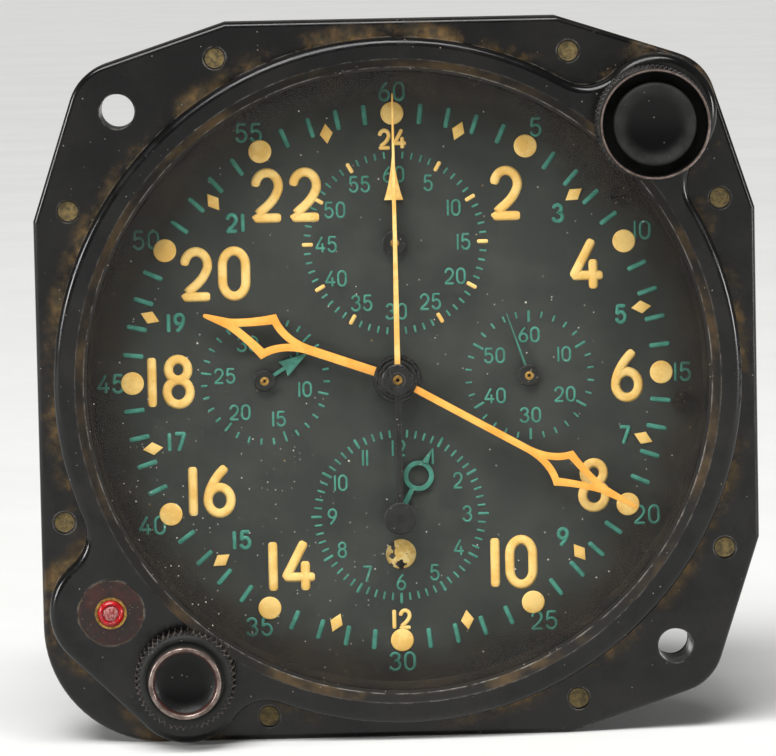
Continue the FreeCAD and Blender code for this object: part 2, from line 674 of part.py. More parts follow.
def big_arc(centre, start, end, radius):
    """Arc on the far side of its centre, seen from the middle of its chord."""
    middle = V(start.add(end)).multiply(0.5)
    return Part.Arc(start, towards(middle, centre, radius + centre.sub(middle).Length), end).toShape()


def lobe_outline():
    """Outline of the rim with its lobes: arcs and one straight side."""
    origin = V(0, 0, 0)
    rim, blend = number("rim_foot"), number("blend_radius")
    push = V(number("push_x + push_lobe_shift"), number("push_z + push_lobe_shift"), 0)
    winder = V(number("winder_x"), number("winder_z - winder_lobe_shift"), 0)
    button = V(number("button_x"), number("button_z"), 0)
    push_radius = number("push_lobe_radius")
    winder_radius = number("winder_lobe_radius")
    button_radius = number("button_lobe_radius")
    hollows = [
        circle_centre(origin, rim + blend, push, push_radius + blend, -1),
        circle_centre(origin, rim + blend, push, push_radius + blend, 1),
        circle_centre(origin, rim + blend, button, button_radius + blend, -1),
        circle_centre(origin, rim + blend, winder, winder_radius + blend, 1)]
    on_rim = [towards(origin, hollow, rim) for hollow in hollows]
    on_push = [towards(push, hollows[0], push_radius), towards(push, hollows[1], push_radius)]
    on_button = towards(button, hollows[2], button_radius)
    on_winder = towards(winder, hollows[3], winder_radius)
    line = winder.sub(button)
    lean = math.asin((button_radius - winder_radius) / line.Length)
    normal = math.atan2(line.y, line.x) - math.pi / 2 + lean
    out = V(math.cos(normal), math.sin(normal), 0)
    tangent_button = button.add(V(out).multiply(button_radius))
    tangent_winder = winder.add(V(out).multiply(winder_radius))
    return Part.Wire([
        arc(origin, on_rim[3], on_rim[0], rim),
        arc(hollows[0], on_rim[0], on_push[0], blend),
        big_arc(push, on_push[0], on_push[1], push_radius),
        arc(hollows[1], on_push[1], on_rim[1], blend),
        arc(origin, on_rim[1], on_rim[2], rim),
        arc(hollows[2], on_rim[2], on_button, blend),
        arc(button, on_button, tangent_button, button_radius),
        Part.LineSegment(tangent_button, tangent_winder).toShape(),
        arc(winder, tangent_winder, on_winder, winder_radius),
        arc(hollows[3], on_winder, on_rim[3], blend)])


def make_front_bezel():
    """Flange, rim and lobes as one moulding, with its bores and recesses."""
    top = number("rim_top")
    low = number("flange_front") - 1
    block = Part.Face(lobe_outline()).extrude(V(0, 0, top - low))
    block.translate(V(0, 0, low))
    crest = [edge for edge in block.Edges if edge.BoundBox.ZLength < 0.01 and edge.BoundBox.ZMin > top - 0.01]
    boss = DOC.addObject("Part::Feature", "RimBoss")
    boss.Shape = block.makeFillet(number("rim_rounding"), crest)
    body = new_body("front_bezel")
    plate = flange(body, "rear_flange_thick", "flange_front - rear_flange_thick")
    front = number("flange_front")
    edged = round_edges(body, plate, "flange_edge", lambda edge: (
        edge.BoundBox.ZLength < 0.01 and abs(edge.BoundBox.ZMin - front) < 0.01
        and edge.BoundBox.DiagonalLength > 2 * number("hole_radius") + 2))
    boss_body = DOC.addObject("PartDesign::Body", "RimBody")
    boss_base = boss_body.newObject("PartDesign::FeatureBase", "RimBase")
    boss_base.BaseFeature = boss
    boss_body.Tip = boss_base
    joined = body.newObject("PartDesign::Boolean", "BezelJoin")
    joined.Type = "Fuse"
    joined.addObject(boss_body)
    body.Tip = joined
    groove(body, [
        ("0", "0"), ("case_bore", "0"), ("case_bore", "lip_height"), ("rim_throat", "lip_height"),
        ("rim_opening", "rim_top + 0.01"), ("rim_opening", "rim_top + 1"), ("0", "rim_top + 1")])
    recess_top = "flange_front + 0.1"
    pocket(body, recess_top, "screw_recess_deep + 0.1",
           [(x, z, "screw_recess_radius") for x, z in SCREWS])
    pocket(body, recess_top, "flange_front", [(x, z, "screw_radius") for x, z in SCREWS])
    pocket(body, "rim_top + 0.1", "rim_top", [PUSH + ("bush_radius",), WINDER + ("bush_radius",),
                                              BUTTON + ("button_radius + 0.3",)])
    pocket(body, "rim_top + 0.1", "label_thick + 0.1", [BUTTON + ("label_radius + fit_gap",)])
    pocket(body, "rear_flange_thick + 5.6", "6", [WINDER + ("winding_module * (winding_leaves / 2 + 2)",)])
    pocket(body, "rear_flange_thick + 2.9", "3", [WINDING + ("winding_module * (winding_teeth / 2 + 1.6)",)])
    for place in (PUSH, BUTTON):
        reach = math.hypot(number(place[0]), number(place[1]))
        slot = lever_slot(place, reach)
        pocket(body, "rear_flange_thick + 3.4", "4", [slot])
    return body


def lever_slot(place, reach):
    """Four corners of the slot that a push lever swings in."""
    half = "(lever_half + 0.5)"
    cosine = "(%s / %.9f)" % (place[0], reach)
    sine = "(%s / %.9f)" % (place[1], reach)
    near, far = "(lever_inner - 1)", "(%.9f + 1.6)" % reach
    return [("%s * %s - %s * %s" % (radial, cosine, side, sine),
             "%s * %s + %s * %s" % (radial, sine, side, cosine))
            for radial, side in ((near, "-" + half), (far, "-" + half), (far, half), (near, half))]


def make_rear_case():
    """Flange, tube with an inner ledge, and back wall in one casting."""
    body = new_body("rear_case")
    flange(body, "0", "rear_flange_thick")
    turn(body, [
        ("0", "-case_depth"), ("case_outside - 1.5", "-case_depth"), ("case_outside", "-case_depth + 1.5"),
        ("case_outside", "rear_flange_thick"), ("ledge_radius", "rear_flange_thick"),
        ("ledge_radius", "case_floor"), ("0", "case_floor")])
    groove(body, [
        ("0", "plate_rear"), ("case_bore", "plate_rear"), ("case_bore", "rear_flange_thick + 1"),
        ("0", "rear_flange_thick + 1")])
    groove(body, [
        ("ledge_radius - 0.5", "case_floor"), ("case_bore", "case_floor"),
        ("case_bore", "plate_rear - ledge_thick"), ("ledge_radius - 0.5", "plate_rear - ledge_thick")])
    pocket(body, "rear_flange_thick + 1", "rear_flange_thick + 2",
           [(x, z, "screw_radius + fit_gap") for x, z in SCREWS])
    pocket(body, "screw_head_sunk", "screw_head_sunk + 1",
           [(x, z, "screw_head_radius + fit_gap") for x, z in SCREWS])
    return body


def make_case_screws():
    """Eight screws from behind; their ends show in the flange's recesses."""
    head_top = number("screw_head_sunk")
    head_low = head_top - number("screw_head_thick")
    tip = number("flange_front - screw_recess_deep + 0.3")
    screws = []
    for place in SCREWS:
        x, z = number(place[0]), number(place[1])
        shank = rod(number("screw_radius"), head_low, tip, x, z)
        head = rod(number("screw_head_radius"), head_low, head_top, x, z)
        slot = Part.makeBox(5, 0.5, 0.4, V(x - 2.5, z - 0.25, head_low - 0.01))
        screws.append(shank.fuse(head).cut(slot))
    return piece("case_screws", Part.makeCompound(screws))


def make_glass_stack():
    """Sealing ring, crystal and the spacer ring that keeps it off the dial."""
    edge = "case_bore - side_gap"
    gasket = new_body("glass_gasket")
    pad(gasket, "glass_front", "gasket_thick", [("0", "0", edge), ("0", "0", "rim_throat - 0.3")])
    glass = new_body("crystal_glass")
    turn(glass, [("0", "glass_rear"), (edge, "glass_rear"), (edge, "glass_front"), ("0", "glass_front")])
    spacer = new_body("dial_spacer_ring")
    turn(spacer, [
        ("spacer_inside - 0.9", "dial_front"), (edge, "dial_front"), (edge, "glass_rear"),
        ("spacer_inside", "glass_rear")])


def make_dial():
    """Dial plate with its arbor holes and round window, and its two screws."""
    dial = new_body("dial_plate")
    holes = [CENTRE + ("hour_tube + 0.35",), REGISTER + ("arbor_radius + 0.3",),
             SECONDS + ("arbor_radius + 0.3",), DATE + ("arbor_radius + 0.3",),
             ELAPSED + ("elapsed_tube + 0.3",), WINDOW + ("window_radius",)]
    holes += [place + ("0.75",) for place in DIAL_SCREWS]
    pad(dial, "dial_rear", "dial_thick", [("0", "0", "case_bore - side_gap")] + holes)
    screws = []
    for x, z in DIAL_SCREWS:
        shank = rod(0.7, number("dial_front") - 3, number("dial_front"), number(x), number(z))
        head = rod(1.3, number("dial_front"), number("dial_front") + 0.35, number(x), number(z))
        slot = Part.makeBox(4, 0.35, 0.4, V(number(x) - 2, number(z) - 0.175, number("dial_front") + 0.15))
        screws.append(shank.fuse(head).cut(slot))
    piece("dial_screws", Part.makeCompound(screws))


def make_movement_ring():
    """Ring that carries the dial in front and the front plate behind, cut away for the push works."""
    low, high = number("plate_front"), number("dial_rear")
    ring = rod(number("case_bore - side_gap"), low, high).cut(rod(number("ring_inside"), low - 1, high + 1))
    x, z = number(WINDING[0]), number(WINDING[1])
    floor = lever_height() - 1.4
    cuts = [rod(number("winding_module * (winding_teeth / 2 + 1.6)"), floor, high + 1, x, z),
            rod(1.2, low - 1, high, x, z)]
    for place in (PUSH, BUTTON):
        reach = math.hypot(number(place[0]), number(place[1]))
        corners = [V(number(x), number(z), floor) for x, z in lever_slot(place, reach)]
        cuts.append(Part.Face(Part.makePolygon(corners + corners[:1])).extrude(V(0, 0, high - floor + 1)))
        cuts.append(lever_pin(place, number("fit_gap")))
    cuts += [rod(0.7, number("dial_front") - 3, number("dial_front"), number(x), number(z))
             for x, z in DIAL_SCREWS]
    return piece("movement_ring", ring.cut(cuts))


def lever_height():
    """Height of the pivots of the push levers."""
    return number("rear_flange_thick") + 1.7


def lever_pin(place, gap):
    """Pivot pin of a push lever, square to its length, in the plane of the dial."""
    reach = math.hypot(number(place[0]), number(place[1]))
    radial = V(number(place[0]) / reach, number(place[1]) / reach, 0)
    across = V(-radial.y, radial.x, 0)
    half = number("lever_half") + 1.1
    start = V(radial).multiply(number("lever_pivot")).sub(V(across).multiply(half))
    start.z = lever_height()
    return Part.makeCylinder(0.5 + gap, 2 * half, start, across)


def push_lever(name, place):
    """Rocking lever under a push stem, with its pivot pin."""
    reach = math.hypot(number(place[0]), number(place[1]))
    radial = V(number(place[0]) / reach, number(place[1]) / reach, 0)
    half_thick = number("lever_thick") / 2
    bar = bar_between(V(radial).multiply(number("lever_inner")), V(radial).multiply(reach),
                      number("lever_half"), lever_height() - half_thick, lever_height() + half_thick)
    return piece(name, fused(bar, lever_pin(place, 0.0)))


def make_plates():
    """Front and rear plates with their pivot holes, and the pillars between them."""
    small = "(arbor_radius + fit_gap)"
    pivot = "(arbor_radius - 0.1 + fit_gap)"
    front = new_body("front_plate")
    through = [CENTRE + ("centre_tube + fit_gap",), REGISTER + (small,), SECONDS + (small,), DATE + (pivot,),
               ELAPSED + (pivot,), DISC + (pivot,), WINDING + ("0.9 + fit_gap",),
               BARREL + ("barrel_arbor_radius - 0.6 + fit_gap",), SECOND + (pivot,), THIRD + (pivot,),
               ESCAPE + (pivot,)]
    pad(front, "plate_rear", "front_plate_thick", [("0", "0", "case_bore - side_gap")] + through)
    for place, tall in ((MINUTE, "3.4"), (COUNTER, "3.2"), (JUMPER, "2.0")):
        pad(front, "plate_front", tall, [place + ("0.5",)])
    rear = new_body("rear_plate")
    through = [CENTRE + ("centre_tube + fit_gap",), REGISTER + (small,), SECONDS + (pivot,),
               WINDING + ("0.9 + fit_gap",), BARREL + ("barrel_arbor_radius + fit_gap",), SECOND + (pivot,),
               THIRD + (pivot,), ESCAPE + (small,)]
    pad(rear, "back_rear", "rear_plate_thick", [("0", "0", "rear_plate_radius")] + through)
    pad(rear, "back_rear - 3.2", "3.2", [TRANSFER + ("0.5",)])
    pad(rear, "back_rear - 2.2", "2.2", [CLICK + ("0.5",)])
    pocket(rear, "back_rear + pivot_deep", "pivot_deep + 0.5", [LEVER + (pivot,), BALANCE + (pivot,)])
    pillars = []
    for angle in (20, 110, 178, 290):
        x = number("pillar_circle") * math.cos(math.radians(angle))
        z = number("pillar_circle") * math.sin(math.radians(angle))
        pillars.append(rod(number("pillar_radius"), number("back_front"), number("plate_rear"), x, z))
    piece("plate_pillars", Part.makeCompound(pillars))


def make_going_train():
    """Barrel, train wheels and escapement."""
    low, high = number("back_front"), number("plate_rear")
    pivot = number("arbor_radius") - 0.1
    gap = number("fit_gap")
    floor = high - 0.8
    thick = number("great_thick")
    barrel_low = floor - number("barrel_tall")
    wall = number("barrel_wall")
    drum = number("barrel_radius")
    teeth = gear("great_module", count("great_teeth"), 0.0, floor - thick, floor)
    shell = fused(teeth, rod(drum, barrel_low, floor - thick + 0.2))
    hollow = rod(drum - wall, barrel_low + wall, floor - thick)
    bore = rod(number("barrel_arbor_radius") + gap, barrel_low - 1, floor + 1)
    piece("mainspring_barrel", shell.cut(hollow).cut(bore), BARREL)
    piece("mainspring", spiral_strip(3.0, drum - wall - 0.3, 9, 0.35, barrel_low + wall + 0.3,
                                     floor - thick - 0.3), BARREL)
    arbor = number("barrel_arbor_radius")
    rear_end = number("back_rear") - number("ratchet_thick") - 1.4
    front_pivot = rod(arbor - 0.6, high, number("plate_front") - 0.2)
    piece("barrel_arbor", fused(rod(arbor, rear_end, high), front_pivot), BARREL)

    second_wheel = barrel_low - 0.4
    wheel = number("wheel_thick")
    second_phase = mating_phase(SECOND, count("second_leaves"), BARREL, count("great_teeth"))
    second_turn = gear("second_module", count("second_teeth"), 0.0, second_wheel - wheel, second_wheel)
    piece("intermediate_wheel", fused(
        arbor_between(0.9, low, high, pivot, high + number("pivot_deep")), second_turn,
        gear("great_module", count("second_leaves"), second_phase, floor - thick - 0.3, floor + 0.2)), SECOND)

    centre_top = second_wheel - wheel - 0.9
    centre_phase = mating_phase(CENTRE, count("centre_leaves"), SECOND, count("second_teeth"))
    hollow_arbor = fused(
        rod(number("centre_tube"), number("back_rear"), number("glass_rear") - 1.7),
        gear("centre_module", count("centre_teeth"), 0.0, centre_top - wheel, centre_top),
        gear("second_module", count("centre_leaves"), centre_phase, centre_top - 0.1, second_wheel + 0.3),
        rod(number("centre_tube") + 0.7, low + 0.1, centre_top - wheel + 0.1))
    piece("centre_wheel", hollow_arbor.cut(rod(number("centre_bore"), low - 9, high + 19)), CENTRE)

    third_phase = mating_phase(THIRD, count("third_leaves"), CENTRE, count("centre_teeth"))
    pinion_low = centre_top - wheel - 0.4
    piece("third_wheel", fused(
        arbor_between(0.7, low, high, pivot, high + number("pivot_deep")),
        gear("third_module", count("third_teeth"), 0.0, second_wheel - wheel, second_wheel),
        gear("centre_module", count("third_leaves"), third_phase, pinion_low, centre_top + 0.3)), THIRD)

    fourth_wheel = high - 6.0
    fourth_phase = mating_phase(SECONDS, count("fourth_leaves"), THIRD, count("third_teeth"))
    piece("fourth_wheel", fused(
        rod(0.7, low, high), rod(pivot, low - number("pivot_deep"), low),
        rod(number("arbor_radius"), high, number("small_arbor_top")),
        gear("fourth_module", count("fourth_teeth"), 0.0, fourth_wheel - wheel, fourth_wheel),
        gear("third_module", count("fourth_leaves"), fourth_phase, second_wheel - wheel - 0.4,
             second_wheel + 0.4)), SECONDS)

    escape_phase = mating_phase(ESCAPE, count("escape_leaves"), SECONDS, count("fourth_teeth"))
    level = number("back_rear") - 1.2
    radius = number("escape_radius")
    star = ring_of_teeth(radius, radius - 1.1, count("escape_teeth"), 0.03, 0.28, 0.0, level - 0.4, level,
                         lean=0.3)
    piece("escape_wheel", fused(
        rod(number("arbor_radius"), level - 1.4, high), rod(pivot, high, high + number("pivot_deep")),
        rod(pivot, level - 2.4, level - 1.4),
        gear("fourth_module", count("escape_leaves"), escape_phase, fourth_wheel - wheel - 0.5,
             fourth_wheel + 0.5),
        star), ESCAPE)
    make_pallet_fork(level)
    make_balance(level)


def make_pallet_fork(level):
    """Lever with two pallets just clear of the escape wheel, and its cock."""
    to_wheel = offset(ESCAPE, LEVER)
    to_balance = offset(BALANCE, LEVER)
    pivot = number("arbor_radius") - 0.1
    fork_end = towards(V(), to_balance, to_balance.Length - 1.75)
    arms = []
    for side in (-1, 1):
        turned = FreeCAD.Rotation(UP, side * 38).multVec(to_wheel).normalize()
        pallet = to_wheel.sub(turned.multiply(number("escape_radius") + 0.75))
        arms.append(bar_between(V(), pallet, 0.4, level - 0.4, level))
    tail = bar_between(V(), fork_end, 0.4, level - 0.4, level)
    pivot_end = level + 1.1 + number("pivot_deep")
    staff = fused(rod(0.5, level - 1.4, level + 0.9), rod(pivot, level + 0.9, pivot_end),
                  rod(pivot, level - 2.4, level - 1.4))
    piece("pallet_fork", fused(tail, arms[0], arms[1], staff), LEVER)

    low, high = level - 2.5, level - 1.5
    escape = offset(ESCAPE, LEVER)
    away = V(escape).normalize()
    foot_one = escape.add(V(away).multiply(6.4))
    across = V(-away.y, away.x, 0)
    foot_two = V(across).multiply(-7.0)
    bridge = fused(
        bar_between(V(), escape, 1.5, low, high), bar_between(escape, foot_one, 1.5, low, high),
        bar_between(V(), foot_two, 1.5, low, high),
        rod(1.5, low, number("back_rear"), foot_one.x, foot_one.y),
        rod(1.5, low, number("back_rear"), foot_two.x, foot_two.y))
    bridge = bridge.cut(rod(pivot + number("fit_gap"), low - 1, high + 1))
    bridge = bridge.cut(rod(pivot + number("fit_gap"), low - 1, high + 1, escape.x, escape.y))
    piece("pallet_cock", bridge, LEVER)


def make_balance(level):
    """Balance with roller and impulse pin, hairspring, and the cock that carries them."""
    pivot = number("arbor_radius") - 0.1
    gap = number("fit_gap")
    rim_top, rim_low = level - 3.2, level - 4.6
    outer = number("balance_radius")
    rim = rod(outer, rim_low, rim_top).cut(rod(outer - number("balance_rim"), rim_low - 1, rim_top + 1))
    back = offset(LEVER, BALANCE).normalize()
    arm_end = V(-back.y, back.x, 0).multiply(outer - 0.6)
    arm = bar_between(V(arm_end).multiply(-1), arm_end, 0.7, rim_low + 0.2, rim_low + 1.0)
    pin = V(back).multiply(1.1)
    pivot_end = level + 1.1 + number("pivot_deep")
    wheel = fused(
        rim, arm, rod(0.6, level - 6.4, level + 1.1), rod(pivot, level + 1.1, pivot_end),
        rod(pivot, level - 8.0, level - 6.4), rod(1.5, level - 1.6, level - 1.1),
        rod(0.2, level - 1.2, level + 0.3, pin.x, pin.y))
    piece("balance_wheel", wheel, BALANCE)
    piece("hairspring", spiral_strip(1.0, 5.6, 9, 0.12, level - 5.9, level - 5.4), BALANCE)

    low, high = level - 8.2, level - 6.6
    reach = number("balance_radius") + 3.6
    foot = FreeCAD.Rotation(UP, number("cock_turn")).multVec(V(back).multiply(-reach))
    stud = V(foot).normalize().multiply(5.9)
    cock = fused(
        bar_between(V(), foot, 2.2, low, high),
        rod(2.2, low, number("back_rear"), foot.x, foot.y),
        rod(0.35, high - 0.1, level - 5.4, stud.x, stud.y))
    cock = cock.cut(rod(pivot + gap, low - 1, high + 1))
    piece("balance_cock", cock, BALANCE)


def make_winding():
    """Winding pinion on the knob's stem, winding wheel and ratchet wheel with its click."""
    module = "winding_module"
    leaves = count("winding_leaves")
    high = number("rear_flange_thick") + 5.0
    low = number("rear_flange_thick") + 0.5
    sleeve = fused(gear(module, leaves, mating_phase(WINDER, leaves, WINDING, count("winding_teeth")),
                        low, low + 2.4), rod(1.7, low + 2.4, high))
    square = Part.makeBox(1.5, 1.5, 20, V(-0.75, -0.75, low - 1))
    piece("winding_pinion", sleeve.cut(square), WINDER)

    wheel_low = number("rear_flange_thick") + 1.0
    rear = number("back_rear")
    ratchet_high = rear - 0.6
    ratchet_low = ratchet_high - number("ratchet_thick")
    piece("winding_wheel", fused(
        gear(module, count("winding_teeth"), 0.0, wheel_low, wheel_low + 1.2),
        rod(0.9, ratchet_low - 0.4, wheel_low + 0.2),
        gear(module, count("winding_rear_leaves"), 0.0, ratchet_low - 0.2, ratchet_high + 0.1)), WINDING)
    phase = mating_phase(BARREL, count("ratchet_teeth"), WINDING, count("winding_rear_leaves"))
    ratchet = gear(module, count("ratchet_teeth"), phase, ratchet_low, ratchet_high)
    piece("ratchet_wheel", ratchet.cut(rod(number("barrel_arbor_radius"), ratchet_low - 1, ratchet_high + 1)),
          BARREL)

    tip = number("winding_module * (ratchet_teeth / 2 + tooth_rise)")
    nose_turn = number("click_direction")
    nose = V(tip + 0.12, 0, 0)
    heel = V(tip + 3.0, number("click_rise"), 0)
    click = fused(bar_between(V(nose.x + 0.5, 0, 0), heel, 0.5, ratchet_low, ratchet_high),
                  rod(1.3, ratchet_low, ratchet_high, heel.x, heel.y))
    click = click.cut(rod(0.5 + number("fit_gap"), ratchet_low - 1, ratchet_high + 1, heel.x, heel.y))
    strip_start = V(heel.x + 1.9, heel.y - 0.2, 0)
    strip_end = V(nose.x + 2.3, nose.y - 1.2, 0)
    spring = fused(bar_between(strip_start, strip_end, 0.15, ratchet_low + 0.2, ratchet_high - 0.1),
                   rod(0.5, ratchet_low + 0.2, rear, strip_end.x, strip_end.y))
    for name, shape in (("click", click), ("click_spring", spring)):
        shape.rotate(V(), UP, nose_turn)
        piece(name, shape, BARREL)


def make_motion_work():
    """Cannon pinion, minute wheel and 24-hour wheel."""
    cannon = "cannon_module"
    front = number("plate_front")
    low = front + 0.3
    tube_top = number("dial_front + minute_hand_rise + hand_thick + collet_above - fit_gap")
    phase = mating_phase(CENTRE, count("cannon_leaves"), MINUTE, count("minute_teeth"))
    pinion = fused(gear(cannon, count("cannon_leaves"), phase, low, low + 1.2),
                   rod(number("cannon_tube"), low, tube_top))
    piece("cannon_pinion", pinion.cut(rod(number("centre_tube"), low - 1, tube_top + 1)), CENTRE)
    wheel_low = low + 0.2
    minute = fused(gear(cannon, count("minute_teeth"), 0.0, wheel_low, wheel_low + 0.8),
                   gear("hour_module", count("minute_leaves"), 0.0, wheel_low + 0.7, low + 2.9))
    piece("minute_wheel", minute.cut(rod(0.5 + number("fit_gap"), low - 1, low + 4)), MINUTE)
    phase = mating_phase(CENTRE, count("hour_teeth"), MINUTE, count("minute_leaves"))
    hour_low = low + 1.7
    hour = fused(gear("hour_module", count("hour_teeth"), phase, hour_low, hour_low + 0.8),
                 rod(number("hour_tube"), hour_low,
                     number("dial_front + hour_hand_rise + hand_thick + collet_above - fit_gap")))
    piece("hour_wheel", hour.cut(rod(number("cannon_tube") + 0.07, hour_low - 1, tube_top + 1)), CENTRE)


def make_chronograph():
    """Sweep arbor, transfer wheel and register wheel of the chronograph."""
    module = "register_module"
    rear = number("back_rear")
    leaves = count("sweep_leaves")
    first_high, first_low = rear - 2.3, rear - 2.9
    sweep = fused(rod(number("centre_bore") - number("fit_gap"), rear - 3.2, number("glass_rear") - 0.3),
                  gear(module, leaves, mating_phase(CENTRE, leaves, TRANSFER, count("transfer_teeth")),
                       rear - 3.2, rear - 2.0))
    piece("sweep_arbor", sweep, CENTRE)
    second_high, second_low = rear - 0.9, rear - 1.5
    leaves = count("transfer_leaves")
    phase = mating_phase(TRANSFER, leaves, REGISTER, count("register_teeth"))
    transfer = fused(gear(module, count("transfer_teeth"), 0.0, first_low, first_high),
                     gear(module, leaves, phase, first_high - 0.1, rear - 0.6))
    piece("register_transfer_wheel", transfer.cut(rod(0.5 + number("fit_gap"), rear - 4, rear + 1)), TRANSFER)
    register = fused(gear(module, count("register_teeth"), 0.0, second_low, second_high),
                     rod(number("arbor_radius"), second_low - 0.3, number("small_arbor_top")))
    piece("register_wheel", register, REGISTER)


def make_calendar():
    """Star wheel with one tooth for each day, and its jumper."""
    low = number("plate_front") + 1.2
    radius = number("star_radius")
    star = ring_of_teeth(radius, radius - 0.7, count("star_teeth"), 0.12, 0.4, 0.0, low, low + 0.6)
    arbor = fused(star, rod(number("arbor_radius"), number("plate_front") + 0.15, number("small_arbor_top")),
                  rod(number("arbor_radius") - 0.1, number("plate_front") - number("pivot_deep"), low))
    piece("date_star_wheel", arbor, DATE)
    stud = V(number("jumper_out"), number("jumper_long"), 0)
    tip = radius + 0.12
    jumper = fused(bar_between(V(tip + 0.6, 0, 0), stud, 0.35, low, low + 0.6),
                   bar_between(V(tip + 0.2, -0.3, 0), V(tip + 0.7, 0.1, 0), 0.2, low, low + 0.6),
                   rod(1.1, number("plate_front") + 0.1, low + 0.6, stud.x, stud.y))
    jumper = jumper.cut(rod(0.5 + number("fit_gap"), low - 2, low + 1, stud.x, stud.y))
    jumper.rotate(V(), UP, number("jumper_direction"))
    piece("date_jumper", jumper, DATE)


def make_elapsed_time():
    """Minute arbor, transfer wheel and hour wheel of the elapsed-time counter, and the status disc."""
    front = number("plate_front")
    module, slow = "elapsed_module", "elapsed_slow_module"
    phase = mating_phase(ELAPSED, count("elapsed_leaves"), COUNTER, count("elapsed_teeth"))
    minute = fused(gear(module, count("elapsed_leaves"), phase, front + 0.3, front + 1.5),
                   rod(number("arbor_radius"), front + 0.2,
                       number("dial_front + elapsed_minute_rise + hand_thick + collet_above")),
                   rod(number("arbor_radius") - 0.1, front - number("pivot_deep"), front + 0.4))
    piece("elapsed_minute_arbor", minute, ELAPSED)
    counter = fused(gear(module, count("elapsed_teeth"), 0.0, front + 0.4, front + 1.2),
                    gear(slow, count("elapsed_slow_leaves"), 0.0, front + 1.1, front + 2.9))
    piece("elapsed_transfer_wheel", counter.cut(rod(0.5 + number("fit_gap"), front - 1, front + 4)), COUNTER)
    phase = mating_phase(ELAPSED, count("elapsed_slow_teeth"), COUNTER, count("elapsed_slow_leaves"))
    hour = fused(gear(slow, count("elapsed_slow_teeth"), phase, front + 1.9, front + 2.6),
                 rod(number("elapsed_tube"), front + 1.9,
                     number("dial_front + elapsed_minute_rise - collet_below - fit_gap")))
    piece("elapsed_hour_wheel", hour.cut(rod(number("arbor_radius") + 0.06, front, front + 9)), ELAPSED)
    disc_top = number("dial_rear") - 0.15
    disc = fused(rod(number("disc_radius"), disc_top - 0.3, disc_top),
                 rod(number("arbor_radius"), front + 0.15, disc_top - 0.2),
                 rod(number("arbor_radius") - 0.1, front - number("pivot_deep"), front + 0.3))
    piece("status_disc", disc, DISC)


def hand(name, place, reading, level, hub, bore, loops):
    """Flat hand pointing up before it is turned to its reading, with its collet."""
    body = new_body(name, place, number(reading))
    pad(body, level, "hand_thick", loops)
    pad(body, level + " - collet_below", "collet_below + hand_thick + collet_above", [("0", "0", hub)])
    pocket(body, level + " + 2", "4", [("0", "0", bore)])
    return body


def blade(root_half, tip, tip_half, start="0"):
    """Plain tapering blade from the axis."""
    return [("-" + root_half, start), (root_half, start), (tip_half, tip), ("-" + tip_half, tip)]


